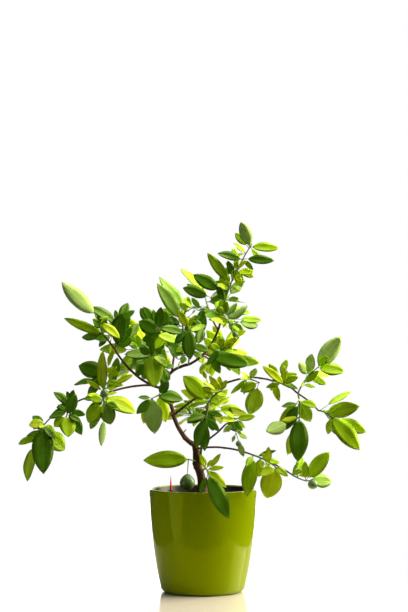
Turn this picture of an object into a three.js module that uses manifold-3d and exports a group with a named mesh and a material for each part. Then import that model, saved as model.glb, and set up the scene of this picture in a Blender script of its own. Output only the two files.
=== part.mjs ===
// Potted tangerine tree: a young citrus with an open crown and green fruit, in a round self-watering
// planter. Millimetres, +Z up, X to the right of the view from -Y, origin at the centre of the pot's
// flat underside.
import * as THREE from "three";
import { mergeVertices } from "three/addons/utils/BufferGeometryUtils.js";
import Module from "manifold-3d";

const wasm = await Module();
wasm.setup();

// Clearance between neighbours
const GAP = 0.35;

// Planter
const POT_HEIGHT = 207;
const POT_RIM_RADIUS = 108;
const POT_FOOT_RADIUS = 74;
const POT_FOOT_ROUND = 12;
const POT_WALL = 4;
const POT_FLOOR = 5;
const POT_BULGE = { radius: 105.5, height: 90 };
const POT_SIDES = 40;
const OUTSIDE_STEPS = 5;
const INSIDE_STEPS = 3;

// Liner that holds the soil above the water
const LINER_TOP = 205;
const LINER_WALL = 2;
const LINER_FLOOR = 30;
const LINER_FOOT_RADIUS = 56;
const LINER_BASKET_RADIUS = 72;
const LINER_COLLAR_DROP = 22;
const LINER_LEDGE = 3;
const LINER_SIDES = 24;

// Soil
const SOIL_MIDDLE = 190;
const SOIL_EDGE = 186;
const SOIL_SHOULDER = 4;
const SOIL_FLAT_RADIUS = 45;
const SOIL_SIDES = 24;

// Water-level indicator
const INDICATOR_PLACE = { x: -66, y: 45 };
const TUBE_RADIUS = 5;
const TUBE_FOOT = 130;
const TUBE_TOP = 200;
const PIN_RADIUS = 2.5;
const PIN_END_RADIUS = 0.3;
const COLUMN_SIDES = 16;
const PIN_TIP = 230;

// Trunk, from the soil to its fork
const TRUNK_LINE = [[-1, 0, SOIL_MIDDLE + GAP], [-3, 0, 227], [-12, 1, 258], [-14, 1, 284], [-17, 0, 297]];
const TRUNK_RADIUS = { flare: 9.5, foot: 9.2, fork: 6.4 };
const FLARE_HEIGHT = 9;
const FLARE_LOBES = 5;
const FLARE_LOBE_DEPTH = 0.22;
const TRUNK_SIDES = 10;
const TRUNK_STEPS = 9;

// Boughs
const BOUGH_SIDES = 6;
const BOUGH_STEPS = 5;

// Twigs: a mass's stem is four-sided and its shoots are three-sided, each sunk into what it grows on
const STEM = { sides: 4, steps: 5, radius: [2, 1.8], sunkEnd: 0.96 };
const SHOOT = { sides: 3, steps: 2, radius: [1.25, 1.15], sag: 0.12, shorterTries: 0.1, leanTries: 14 };

// A leaf's shape, as shares of its length. It is broadest between the two shares named by broad, and
// narrows evenly to its root and its tip. A station has its place and its share of the full half-width
const LEAF = { width: 0.46, broad: [0.28, 0.6], fold: 0.14, keel: 0.014, curl: [0.04, 0.18], rootRadius: 0.5,
  stalk: 5 };
const LEAF_STATIONS = [[0.25, 0.88], [0.62, 0.94]];
const SMALL_LEAF = 58;
const SMALL_LEAF_STATIONS = [[0.42, 1]];
const ROOT_CORNERS = [[-0.9, 0.5], [0.9, 0.5], [0, -1]];

// How leaves stand on a shoot: the shares of the shoot they use, the angle they spread by, in degrees,
// how far they lean to the light and droop, how their faces stray, how they differ in size, and how each
// later try turns, shrinks and bends inwards
const STAND = { first: 0.15, last: 0.85, tip: 0.98, spread: 54, play: 30, toLight: 0.9, lightMean: 0.4,
  droop: 0.25, face: 0.8, size: [0.8, 1.04] };
const TRY = { count: 12, turn: 31, shrink: 0.025, inwards: 0.06, stray: 0.12 };

// How seeds are dealt out: to a mass's shoots, to a shoot's leaves and to the tries of a leaf
const SEED = { mass: 1000, shoot: 97, leaf: 31, attempt: 7 };

// The share of up in the way that upper faces turn, and the depth, in Y, where front becomes back
const LIGHT = { up: 0.55, divide: 115, blend: 60 };

// What a leaf keeps from other things, and how near its root it may touch its own twig
const CLEARANCE = 1;
const ROOT_ROOM = 7;
const LEAST_REACH = 46;

const vec = (x, y, z) => new THREE.Vector3(x, y, z);
const UP = vec(0, 0, 1);
const radians = THREE.MathUtils.degToRad;

// Solids

function toSolid(geometry) {
  const bare = new THREE.BufferGeometry();
  bare.setAttribute("position", geometry.getAttribute("position"));
  bare.setIndex(geometry.getIndex());
  const merged = mergeVertices(bare, 1e-4);
  return new wasm.Manifold(new wasm.Mesh({
    numProp: 3,
    vertProperties: merged.getAttribute("position").array,
    triVerts: new Uint32Array(merged.getIndex().array),
  }));
}

// The largest body of a solid, with sealed hollows and loose scraps left out.
function oneBody(solid) {
  const bodies = solid.decompose();
  return bodies.reduce((most, body) => (body.volume() > most.volume() ? body : most));
}

function toGeometry(solid) {
  const { vertProperties, triVerts } = oneBody(solid).getMesh();
  const geometry = new THREE.BufferGeometry();
  geometry.setAttribute("position", new THREE.BufferAttribute(vertProperties, 3));
  geometry.setIndex(new THREE.BufferAttribute(triVerts, 1));
  return geometry;
}

// Joins rings of equal point count into a closed skin, with a fan over each end, or a point at the last.
function skin(rings, tip) {
  const count = rings[0].length;
  const points = tip ? [...rings.flat(), tip] : rings.flat();
  const faces = [];
  for (let ring = 0; ring + 1 < rings.length; ring++) {
    for (let side = 0; side < count; side++) {
      const next = (side + 1) % count;
      const [a, b] = [ring * count + side, ring * count + next];
      faces.push(a, b, b + count, a, b + count, a + count);
    }
  }
  const last = (rings.length - 1) * count;
  for (let side = 1; side + 1 < count; side++) faces.push(0, side + 1, side);
  if (tip) {
    const end = last + count;
    for (let side = 0; side < count; side++) faces.push(last + side, last + ((side + 1) % count), end);
  } else {
    for (let side = 1; side + 1 < count; side++) faces.push(last, last + side, last + side + 1);
  }
  const geometry = new THREE.BufferGeometry();
  geometry.setFromPoints(points);
  geometry.setIndex(faces);
  return toSolid(geometry);
}

// A limb that tapers along a curve. radiusAt gives the radius from the share of the way and the angle.
function taperedLimb(curve, radiusAt, sides, steps) {
  const frames = curve.computeFrenetFrames(steps, false);
  const rings = [];
  for (let step = 0; step <= steps; step++) {
    const share = step / steps;
    const centre = curve.getPointAt(share);
    const ring = [];
    for (let side = 0; side < sides; side++) {
      const angle = (2 * Math.PI * side) / sides;
      const radius = radiusAt(share, angle);
      ring.push(centre.clone()
        .addScaledVector(frames.normals[step], radius * Math.cos(angle))
        .addScaledVector(frames.binormals[step], radius * Math.sin(angle)));
    }
    rings.push(ring);
  }
  return skin(rings);
}

// A curve from one point to another that stands off the straight line by bow at its middle.
function bowed(from, to, bow = [0, 0, 0]) {
  const [start, end] = [vec(...from), vec(...to)];
  const control = start.clone().add(end).multiplyScalar(0.5).addScaledVector(vec(...bow), 2);
  return new THREE.QuadraticBezierCurve3(start, control, end);
}

// A solid turned about the Z axis from a closed or axis-to-axis outline of [radius, height] pairs.
function turned(outline, sides) {
  return toSolid(new THREE.LatheGeometry(outline.map(([r, z]) => new THREE.Vector2(r, z)), sides)
    .rotateX(Math.PI / 2));
}

function material(color, roughness) {
  return new THREE.MeshStandardMaterial({ color, roughness, metalness: 0, flatShading: true });
}

const tree = new THREE.Group();

function node(name, solid, look) {
  const mesh = new THREE.Mesh(toGeometry(solid), look);
  mesh.name = name;
  tree.add(mesh);
}

// Planter, liner, soil and indicator

// The pot's outer wall as [radius, height] pairs from the rounded foot edge to the rim, inset by a
// thickness.
function wallLine(inset, steps) {
  const foot = POT_FOOT_RADIUS + POT_FOOT_ROUND;
  const wall = new THREE.QuadraticBezierCurve(
    new THREE.Vector2(foot - inset, POT_FOOT_ROUND),
    new THREE.Vector2(POT_BULGE.radius - inset, POT_BULGE.height),
    new THREE.Vector2(POT_RIM_RADIUS - inset, POT_HEIGHT - POT_WALL / 2));
  return wall.getPoints(steps).map((p) => [p.x, p.y]);
}

// The room inside the wall at a height, from the axis to the middle of a facet.
function insideRadius(height) {
  const line = wallLine(POT_WALL, INSIDE_STEPS);
  const above = line.findIndex(([, z]) => z >= height);
  const [[lowRadius, low], [highRadius, high]] = [line[above - 1], line[above]];
  const radius = THREE.MathUtils.mapLinear(height, low, high, lowRadius, highRadius);
  return radius * Math.cos(Math.PI / POT_SIDES);
}

function arc(centre, radius, from, to, steps) {
  return Array.from({ length: steps + 1 }, (_, step) => {
    const angle = radians(from + ((to - from) * step) / steps);
    return [centre[0] + radius * Math.cos(angle), centre[1] + radius * Math.sin(angle)];
  });
}

function pot() {
  const footEdge = arc([POT_FOOT_RADIUS, POT_FOOT_ROUND], POT_FOOT_ROUND, -90, -15, 2);
  const lip = arc([POT_RIM_RADIUS - POT_WALL / 2, POT_HEIGHT - POT_WALL / 2], POT_WALL / 2, 0, 180, 3);
  const inside = wallLine(POT_WALL, INSIDE_STEPS).reverse().slice(1, -1);
  const floorCorner = [POT_FOOT_RADIUS, POT_FLOOR];
  const outside = wallLine(0, OUTSIDE_STEPS).slice(1, -1);
  return turned([[0, 0], ...footEdge, ...outside, ...lip, ...inside, floorCorner, [0, POT_FLOOR]], POT_SIDES);
}

const COLLAR_FOOT = LINER_TOP - LINER_COLLAR_DROP;

function liner() {
  const collar = insideRadius(COLLAR_FOOT) - GAP;
  const foot = LINER_FOOT_RADIUS;
  const basket = LINER_BASKET_RADIUS;
  const floorTop = LINER_FLOOR + LINER_WALL;
  return turned([
    [0, LINER_FLOOR], [foot - LINER_WALL, LINER_FLOOR], [foot - LINER_WALL, POT_FLOOR + GAP],
    [foot, POT_FLOOR + GAP], [foot, LINER_FLOOR], [basket, LINER_FLOOR],
    [collar - LINER_LEDGE, COLLAR_FOOT], [collar, COLLAR_FOOT], [collar, LINER_TOP],
    [collar - LINER_WALL, LINER_TOP], [collar - LINER_WALL - LINER_LEDGE, COLLAR_FOOT],
    [basket - LINER_WALL, floorTop], [0, floorTop]], LINER_SIDES);
}

function soil() {
  const bottom = LINER_FLOOR + LINER_WALL + GAP;
  const top = insideRadius(COLLAR_FOOT) - LINER_WALL - LINER_LEDGE - 3 * GAP;
  const body = turned([[0, bottom], [LINER_BASKET_RADIUS - LINER_WALL - 2 * GAP, bottom],
    [top, SOIL_EDGE - SOIL_SHOULDER], [top - SOIL_SHOULDER / 2, SOIL_EDGE],
    [SOIL_FLAT_RADIUS, SOIL_MIDDLE], [0, SOIL_MIDDLE]], SOIL_SIDES);
  return body.subtract(column(TUBE_RADIUS + GAP, TUBE_RADIUS + GAP, TUBE_FOOT - GAP, POT_HEIGHT));
}

// An upright cylinder or cone at the indicator's place.
function column(lowRadius, highRadius, low, high) {
  const shape = new THREE.CylinderGeometry(highRadius, lowRadius, high - low, COLUMN_SIDES);
  shape.rotateX(Math.PI / 2).translate(INDICATOR_PLACE.x, INDICATOR_PLACE.y, (low + high) / 2);
  return toSolid(shape);
}

node("pot", pot(), material(0x6f7f08, 0.15));
node("liner", liner(), material(0x2a1a28, 0.4));
node("soil", soil(), material(0x2b1c14, 0.95));
node("indicator_tube", column(TUBE_RADIUS, TUBE_RADIUS, TUBE_FOOT, TUBE_TOP), material(0x2c2430, 0.3));
node("indicator_pin", column(PIN_RADIUS, PIN_END_RADIUS, TUBE_TOP + GAP, PIN_TIP), material(0xd8261c, 0.35));

// Trunk and boughs

const BARK = material(0x6b4a34, 0.85);
const GREEN_BARK = material(0x6f8038, 0.7);

const trunkCurve = new THREE.CatmullRomCurve3(TRUNK_LINE.map((p) => vec(...p)));

function trunkSolid(grow) {
  const height = TRUNK_LINE.at(-1)[2] - TRUNK_LINE[0][2];
  const radiusAt = (share, angle) => {
    const taper = THREE.MathUtils.lerp(TRUNK_RADIUS.foot, TRUNK_RADIUS.fork, share);
    const flare = TRUNK_RADIUS.flare * Math.exp((-share * height) / FLARE_HEIGHT);
    return taper + flare * (1 + FLARE_LOBE_DEPTH * Math.cos(FLARE_LOBES * angle)) + grow;
  };
  return taperedLimb(trunkCurve, radiusAt, TRUNK_SIDES, TRUNK_STEPS);
}

// The cut at ground level is flat, so the foot is trimmed by a level plane.
function levelled(solid) {
  return solid.trimByPlane([0, 0, 1], TRUNK_LINE[0][2]);
}

// Every bough: the limb it grows from and the share of the way along that, its end, how it bows at its
// middle, and its radius at both ends.
const BOUGHS = {
  main_bough: { from: "trunk", at: 0.95, to: [-59, 5, 351], bow: [-2, 0, -9], radius: [5.4, 4.3] },
  elbow: { from: "main_bough", at: 1, to: [-81, 12, 408], bow: [3, 0, 1], radius: [4.3, 3.6] },
  upper_bough: { from: "elbow", at: 1, to: [-30, 5, 457], bow: [-10, 0, 8], radius: [3.4, 3] },
  leader: { from: "upper_bough", at: 1, to: [39, 2, 558], bow: [9, 0, -14], radius: [2.8, 2.2] },
  leader_spur: { from: "leader", at: 0.35, to: [14, -30, 474], radius: [1.9, 1.7] },
  upright: { from: "upper_bough", at: 0.55, to: [-41, 62, 528], bow: [-4, 0, 4], radius: [2.3, 1.9] },
  left_bough: { from: "elbow", at: 1, to: [-176, -20, 485], bow: [-4, 0, -13], radius: [3, 2.2] },
  left_shoot: { from: "left_bough", at: 1, to: [-198, -38, 515], bow: [2, 0, -1], radius: [2.1, 1.9] },
  left_droop: { from: "left_bough", at: 0.2, to: [-203, -62, 396], bow: [0, 0, 6], radius: [2.4, 2] },
  left_outer: { from: "left_droop", at: 1, to: [-258, -80, 380], bow: [0, 0, 4], radius: [1.9, 1.7] },
  right_arch: { from: "elbow", at: 0.05, to: [74, -42, 429], bow: [-2, 0, 10], radius: [2.5, 2.1] },
  right_arch_middle: { from: "right_arch", at: 1, to: [136, -58, 426], bow: [0, 0, 4], radius: [2, 1.9] },
  right_arch_outer: { from: "right_arch_middle", at: 1, to: [189, -62, 400], bow: [2, 0, 5],
    radius: [1.9, 1.8] },
  right_end: { from: "right_arch_outer", at: 1, to: [228, -80, 367], bow: [1, 0, 2], radius: [1.8, 1.6] },
  green_stem: { from: "trunk", at: 0.35, to: [10, -52, 379], bow: [-3, 6, 4], radius: [3, 2] },
  right_inner: { from: "trunk", at: 0.9, to: [44, -75, 339], bow: [2, 0, -4], radius: [2.2, 1.8] },
  whip: { from: "trunk", at: 0.8, to: [98, -52, 278], bow: [0, 0, 8], radius: [2.2, 1.8] },
  whip_outer: { from: "whip", at: 1, to: [173, -72, 242], bow: [0, 0, 3], radius: [1.8, 1.6] },
  front_bough: { from: "elbow", at: 0.1, to: [-85, -95, 399], bow: [-4, 0, -8], radius: [2.4, 1.9] },
  back_left: { from: "upper_bough", at: 0.4, to: [-100, 92, 462], bow: [0, 0, -8], radius: [2.8, 2] },
  back_right: { from: "leader", at: 0.25, to: [20, 96, 456], bow: [0, 0, 8], radius: [2.4, 2] },
  back_low: { from: "main_bough", at: 0.1, to: [-4, 98, 338], bow: [4, 0, -8], radius: [2.8, 2] },
  back_top: { from: "leader", at: 0.8, to: [14, 62, 566], bow: [0, 0, -5], radius: [2, 1.7] },
};

const limbCurves = { trunk: trunkCurve };

function boughSolid(name, grow) {
  const radiusAt = (share) => THREE.MathUtils.lerp(...BOUGHS[name].radius, share) + grow;
  return taperedLimb(limbCurves[name], radiusAt, BOUGH_SIDES, BOUGH_STEPS);
}

const limbShells = [trunkSolid(GAP)];
node("trunk", levelled(trunkSolid(0)), BARK);
for (const [name, { from, at, to, bow }] of Object.entries(BOUGHS)) {
  limbCurves[name] = bowed(limbCurves[from].getPoint(at), to, bow);
  let solid = boughSolid(name, 0);
  for (const shell of limbShells) solid = solid.subtract(shell);
  node(name, solid, name === "green_stem" ? GREEN_BARK : BARK);
  limbShells.push(boughSolid(name, GAP));
}

// Foliage masses. Each has a stem from its bough's tip, or from a share of the way up the trunk, and
// shoots on that stem. Some name the middle or the reach of the space that the mass keeps to.
// A shoot starts a share of the way along, aims at an angle from +X towards +Z, leans out of the XZ
// plane towards -Y, and carries leaves of a given length, which is one lone leaf unless leaves says
// otherwise. turn: -1 shows the leaves' undersides.
const MASSES = {
  crown_top: { from: "leader", to: [100, 15, 703], bow: [-10, 0, -2],
    seed: 3, middle: [50, 8, 632], shoots: [
    { at: 0.18, aim: 165, out: 8, long: 38, leaf: 54 },
    { at: 0.3, aim: 147, out: 15, long: 22, leaf: 60 },
    { at: 0.36, aim: 150, out: 30, long: 4, leaf: 26 },
    { at: 0.4, aim: 105, out: -20, long: 6, leaf: 30 },
    { at: 0.42, aim: 22, out: 10, long: 4, leaf: 30, wide: 0.34 },
    { at: 0.45, aim: 128, out: 0, long: 8, leaf: 72, wide: 0.3 },
    { at: 0.48, aim: 92, out: 20, long: 2, leaf: 26, wide: 0.36 },
    { at: 0.55, aim: 80, out: -10, long: 3, leaf: 36 },
    { at: 0.6, aim: 8, out: 20, long: 5, leaf: 34, wide: 0.6 },
    { at: 0.64, aim: 50, out: 30, long: 4, leaf: 36, wide: 0.54 },
    { at: 0.66, aim: -25, out: -10, long: 6, leaf: 32 },
    { at: 0.79, aim: 165, out: 10, long: 5, leaf: 48, wide: 0.42 },
    { at: 0.8, aim: -6, out: 15, long: 10, leaf: 55, wide: 0.36 },
    { at: 0.87, aim: 140, out: 30, long: 3, leaf: 34, wide: 0.34 },
    { at: 0.94, aim: 130, out: -15, long: 10, leaf: 36 },
    { at: 0.96, aim: 106, out: 5, long: 3, leaf: 52, wide: 0.5, turn: -1 },
    { at: 0.97, aim: 1, out: 0, long: 4, leaf: 56, wide: 0.38 },
    { at: 0.2, aim: 60, out: -35, long: 22, leaves: 3, leaf: 46 },
    { at: 0.7, aim: 200, out: -40, long: 20, leaves: 3, leaf: 42 } ] },
  upper_right: { from: "leader", to: [62, -40, 512], bow: [4, 0, 4],
    seed: 5, shoots: [
    { at: 0.03, aim: 170, out: 12, long: 12, leaf: 50, wide: 0.6 },
    { at: 0.08, aim: 85, out: 25, long: 4, leaf: 30 },
    { at: 0.1, aim: 54, out: 12, long: 3, leaf: 38, turn: -1 },
    { at: 0.16, aim: 20, out: 25, long: 4, leaf: 52, wide: 0.52, turn: -1 },
    { at: 0.24, aim: -2, out: 5, long: 30, leaf: 42 },
    { at: 0.35, aim: 174, out: 25, long: 20, leaf: 24, wide: 0.3 },
    { at: 0.5, aim: 172, out: 5, long: 22, leaf: 46 },
    { at: 0.55, aim: -32, out: 25, long: 3, leaf: 22 },
    { at: 0.96, aim: 8, out: 12, long: 2, leaf: 46, wide: 0.52 },
    { at: 0.85, aim: 30, out: 50, long: 8, leaves: 0, fruit: 13 },
    { at: 0.4, aim: 10, out: -35, long: 24, leaves: 3, leaf: 50 } ] },
  spur_leaves: { from: "leader_spur", to: [38, -56, 486], bow: [0, 0, 3],
    seed: 12, middle: [48, -48, 470], shoots: [
    { at: 0.08, aim: -12, out: 12, long: 3, leaf: 76, wide: 0.48 },
    { at: 0.4, aim: 84, out: 20, long: 4, leaf: 34, wide: 0.5 },
    { at: 0.7, aim: 130, out: 25, long: 4, leaf: 38 },
    { at: 0.95, aim: 40, out: 10, long: 4, leaf: 36 },
    { at: 0.9, aim: 200, out: 35, long: 4, leaf: 40 },
    { at: 0.97, aim: -7, out: 15, long: 6, leaf: 42, wide: 0.3 } ] },
  upper_left: { from: "upright", to: [-36, 72, 568], bow: [-3, 0, 0],
    seed: 9, middle: [-56, 86, 558], shoots: [
    { at: 0.4, aim: 119, out: 10, long: 10, leaf: 86, wide: 0.34 },
    { at: 0.97, aim: 124, out: 0, long: 3, leaf: 88, wide: 0.3 },
    { at: 0.2, aim: 180, out: -15, long: 26, leaves: 3, leaf: 54 },
    { at: 0.6, aim: 6, out: -5, long: 28, leaves: 4, leaf: 56 },
    { at: 0.9, aim: 35, out: 10, long: 22, leaves: 3, leaf: 54 },
    { at: 0.7, aim: 150, out: -50, long: 24, leaves: 3, leaf: 50 } ] },
  front_upper: { from: "upper_bough", to: [-30, -58, 534], bow: [2, -4, -12],
    seed: 21, middle: [-36, -30, 502], shoots: [
    { at: 0.97, aim: 118, out: 12, long: 4, leaf: 38 },
    { at: 0.62, aim: 163, out: 12, long: 24, leaf: 44, wide: 0.64 },
    { at: 0.66, aim: -58, out: 15, long: 8, leaf: 46, wide: 0.4 },
    { at: 0.86, aim: 162, out: 20, long: 14, leaf: 44, wide: 0.5 },
    { at: 0.97, aim: 281, out: 16, long: 3, leaf: 66, wide: 0.48 },
    { at: 0.9, aim: 40, out: 0, long: 6, leaf: 44 },
    { at: 0.45, aim: 205, out: 5, long: 24, leaves: 3, leaf: 56 },
    { at: 0.5, aim: 40, out: -10, long: 24, leaves: 3, leaf: 50 } ] },
  left_tip: { from: "left_shoot", to: [-216, -46, 560], bow: [-2, 0, 0],
    seed: 4, shoots: [
    { at: 0.06, aim: 155, out: 8, long: 4, leaf: 82, wide: 0.24 },
    { at: 0.7, aim: -34, out: 20, long: 12, leaf: 50, wide: 0.42 },
    { at: 0.97, aim: 138, out: 0, long: 3, leaf: 90, wide: 0.38, turn: -1 },
    { at: 0.5, aim: 40, out: 30, long: 4, leaf: 34 },
    { at: 0.3, aim: 110, out: 35, long: 5, leaf: 36 } ] },
  left_upper: { from: "left_bough", to: [-178, 12, 546], bow: [0, 0, -2],
    seed: 7, shoots: [
    { at: 0.15, aim: 80, out: 22, long: 6, leaf: 68, wide: 0.6 },
    { at: 0.97, aim: 148, out: 0, long: 4, leaf: 60, wide: 0.44 },
    { at: 0.9, aim: 40, out: 5, long: 5, leaf: 44 },
    { at: 0.1, aim: 22, out: 8, long: 14, leaf: 46, wide: 0.38 },
    { at: 0.35, aim: 15, out: -5, long: 24, leaves: 3, leaf: 52 },
    { at: 0.5, aim: 165, out: -25, long: 24, leaves: 4, leaf: 52 },
    { at: 0.8, aim: 60, out: -40, long: 22, leaves: 3, leaf: 50 } ] },
  inner_left: { from: "upright", to: [-98, 34, 523], bow: [0, 0, 5],
    seed: 6, shoots: [
    { at: 0.95, aim: 150, out: 10, long: 2, leaf: 40, wide: 0.8 },
    { at: 0.96, aim: 198, out: 18, long: 10, leaf: 58, wide: 0.34 },
    { at: 0.5, aim: 230, out: 20, long: 12, leaf: 44 },
    { at: 0.4, aim: 130, out: 10, long: 4, leaf: 46 },
    { at: 0.6, aim: 95, out: 15, long: 3, leaf: 40 },
    { at: 0.45, aim: 235, out: -20, long: 26, leaves: 4, leaf: 56 },
    { at: 0.85, aim: 120, out: -30, long: 24, leaves: 3, leaf: 54 } ] },
  left_centre: { from: "left_droop", to: [-196, -44, 440], bow: [4, 4, 0],
    seed: 14, middle: [-182, -44, 430], shoots: [
    { at: 0.3, aim: 24, out: 10, long: 26, leaf: 40, wide: 0.34 },
    { at: 0.32, aim: 62, out: 15, long: 20, leaf: 32, wide: 0.34 },
    { at: 0.9, aim: 12, out: -15, long: 8, leaf: 54, wide: 0.55 },
    { at: 0.2, aim: 96, out: 18, long: 3, leaf: 80, wide: 0.28 },
    { at: 0.12, aim: 176, out: -8, long: 12, leaf: 44, wide: 0.46 },
    { at: 0.97, aim: 160, out: 5, long: 8, leaf: 48, wide: 0.72 },
    { at: 0.95, aim: 74, out: 12, long: 18, leaf: 36, wide: 0.46 },
    { at: 0.85, aim: 18, out: 25, long: 4, leaf: 28 },
    { at: 0.6, aim: 0, out: 20, long: 4, leaf: 34 },
    { at: 0.5, aim: 30, out: -20, long: 24, leaves: 3, leaf: 50 },
    { at: 0.7, aim: 175, out: -20, long: 20, leaves: 3, leaf: 48 } ] },
  left_hub: { from: "left_droop", to: [-192, -98, 378], bow: [0, 0, 5],
    seed: 15, middle: [-182, -88, 378], reach: 52, shoots: [
    { at: 0.55, aim: -17, out: 10, long: 4, leaf: 66, wide: 0.6 },
    { at: 0.25, aim: -8, out: 26, long: 3, leaf: 56, wide: 0.24 },
    { at: 0.7, aim: 230, out: 12, long: 12, leaf: 42, wide: 0.8 },
    { at: 0.85, aim: 275, out: 0, long: 2, leaf: 54, wide: 0.62 },
    { at: 0.96, aim: 264, out: 15, long: 33, leaf: 52, wide: 0.28, turn: -1 },
    { at: 0.15, aim: 186, out: 22, long: 4, leaf: 34 },
    { at: 0.35, aim: 75, out: 15, long: 16, leaves: 0, fruit: 17 },
    { at: 0.45, aim: 165, out: 30, long: 6, leaf: 28 },
    { at: 0.8, aim: -50, out: 15, long: 6, leaf: 36 },
    { at: 0.5, aim: 245, out: -20, long: 22, leaves: 2, leaf: 44 } ] },
  left_outer_leaves: { from: "left_outer", to: [-268, -112, 356], bow: [0, 0, 5],
    seed: 10, middle: [-278, -100, 358], shoots: [
    { at: 0.9, aim: 32, out: 5, long: 2, leaf: 46, wide: 0.56 },
    { at: 0.1, aim: 48, out: 22, long: 3, leaf: 42 },
    { at: 0.96, aim: 270, out: 10, long: 3, leaf: 46, wide: 0.8 },
    { at: 0.3, aim: 140, out: 20, long: 4, leaf: 40 },
    { at: 0.8, aim: 190, out: 15, long: 4, leaf: 34 },
    { at: 0.7, aim: -62, out: 0, long: 5, leaf: 50 },
    { at: 0.45, aim: 212, out: 0, long: 4, leaf: 44 } ] },
  left_end: { from: "left_outer", to: [-330, -88, 314], bow: [-6, 0, 7],
    seed: 17, middle: [-306, -84, 306], shoots: [
    { at: 0.68, aim: 182, out: 15, long: 2, leaf: 30, wide: 0.9 },
    { at: 0.74, aim: 269, out: 32, long: 6, leaf: 96, wide: 0.46 },
    { at: 0.97, aim: 256, out: 0, long: 25, leaf: 68, wide: 0.42 },
    { at: 0.82, aim: -40, out: -14, long: 16, leaf: 50, wide: 0.8 },
    { at: 0.7, aim: 215, out: -30, long: 14, leaves: 3, leaf: 46 } ] },
  bright_front: { from: "front_bough", to: [-100, -114, 392],
    seed: 18, middle: [-80, -112, 372], shoots: [
    { at: 0.92, aim: 270, out: 8, long: 2, leaf: 68, wide: 0.56 },
    { at: 0.15, aim: -70, out: 12, long: 3, leaf: 52, wide: 0.54 },
    { at: 0.97, aim: 250, out: -10, long: 4, leaf: 52, wide: 0.46 },
    { at: 0.2, aim: 5, out: 14, long: 2, leaf: 50, wide: 0.62 },
    { at: 0.95, aim: 226, out: 10, long: 6, leaf: 38 } ] },
  centre_left: { from: "elbow", to: [-104, -22, 480], bow: [3, 4, 0],
    seed: 19, middle: [-108, -14, 464], shoots: [
    { at: 0.96, aim: 181, out: 8, long: 3, leaf: 52, wide: 0.56 },
    { at: 0.97, aim: 276, out: 26, long: 3, leaf: 68, wide: 0.6 },
    { at: 0.93, aim: 60, out: 10, long: 3, leaf: 46 },
    { at: 0.6, aim: 10, out: 15, long: 22, leaves: 3, leaf: 52 },
    { at: 0.7, aim: 160, out: -30, long: 26, leaves: 4, leaf: 54 } ] },
  centre_lime: { from: "green_stem", to: [38, -80, 406], bow: [-2, 0, 4],
    seed: 22, middle: [6, -80, 414], shoots: [
    { at: 0.1, aim: 131, out: 18, long: 10, leaf: 64, wide: 0.6 },
    { at: 0.15, aim: 196, out: 10, long: 2, leaf: 42, wide: 0.26 },
    { at: 0.4, aim: 107, out: 15, long: 40, leaves: 5, leaf: 18 },
    { at: 0.5, aim: 160, out: 20, long: 3, leaf: 30 },
    { at: 0.6, aim: -15, out: 25, long: 3, leaf: 28 },
    { at: 0.7, aim: 80, out: 25, long: 3, leaf: 34 },
    { at: 0.9, aim: 60, out: 15, long: 3, leaf: 24 },
    { at: 0.97, aim: 107, out: 10, long: 2, leaf: 46, wide: 0.32 },
    { at: 0.75, aim: 135, out: 25, long: 3, leaf: 34 } ] },
  centre_low: { from: "green_stem", to: [6, -92, 352], bow: [2, 0, 5],
    seed: 23, middle: [2, -86, 332], shoots: [
    { at: 0.96, aim: 246, out: 8, long: 2, leaf: 62, wide: 0.46 },
    { at: 0.97, aim: 270, out: 12, long: 12, leaf: 56, wide: 0.42 },
    { at: 0.5, aim: -78, out: 4, long: 4, leaf: 42, wide: 0.48 },
    { at: 0.7, aim: -4, out: 16, long: 3, leaf: 32, wide: 0.46 },
    { at: 0.35, aim: 165, out: 20, long: 8, leaf: 36 },
    { at: 0.85, aim: 190, out: 20, long: 3, leaf: 40 } ] },
  right_inner_leaves: { from: "right_inner", to: [66, -98, 352],
    seed: 24, middle: [66, -90, 318], shoots: [
    { at: 0.95, aim: 105, out: 12, long: 6, leaf: 36, wide: 0.8 },
    { at: 0.12, aim: -6, out: 15, long: 2, leaf: 36, wide: 0.6 },
    { at: 0.5, aim: 52, out: 5, long: 2, leaf: 36, wide: 0.34 },
    { at: 0.6, aim: -70, out: 5, long: 38, leaves: 3, leaf: 28, fruit: 12 },
    { at: 0.95, aim: 8, out: 5, long: 3, leaf: 36 },
    { at: 0.97, aim: 75, out: 10, long: 3, leaf: 34 } ] },
  arch_inner: { from: "right_arch", to: [112, -84, 422], bow: [0, 0, 3],
    seed: 25, middle: [96, -70, 406], shoots: [
    { at: 0.97, aim: 257, out: 4, long: 12, leaf: 66, wide: 0.6 },
    { at: 0.3, aim: 66, out: 10, long: 2, leaf: 42, wide: 0.5, turn: -1 },
    { at: 0.55, aim: 28, out: 15, long: 2, leaf: 36, wide: 0.5, turn: -1 },
    { at: 0.35, aim: 207, out: 10, long: 2, leaf: 46, wide: 0.26 },
    { at: 0.25, aim: 265, out: 15, long: 6, leaf: 34, wide: 0.54 },
    { at: 0.6, aim: 120, out: 10, long: 3, leaf: 34 } ] },
  arch_middle: { from: "right_arch_middle", to: [162, -92, 418], bow: [0, 0, 3],
    seed: 26, middle: [150, -76, 424], shoots: [
    { at: 0.96, aim: 150, out: 5, long: 3, leaf: 56, wide: 0.34 },
    { at: 0.8, aim: 146, out: -18, long: 4, leaf: 52, wide: 0.34 },
    { at: 0.12, aim: -72, out: 12, long: 4, leaf: 40, wide: 0.36 },
    { at: 0.3, aim: -38, out: 22, long: 3, leaf: 52, wide: 0.34 },
    { at: 0.5, aim: 60, out: -25, long: 12, leaves: 3, leaf: 38 },
    { at: 0.7, aim: 20, out: 20, long: 3, leaf: 34 } ] },
  right_top: { from: "right_arch_outer", to: [232, -38, 453], bow: [-4, 0, 3],
    seed: 27, shoots: [
    { at: 0.97, aim: 52, out: 0, long: 3, leaf: 75, wide: 0.48, turn: -1 },
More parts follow.
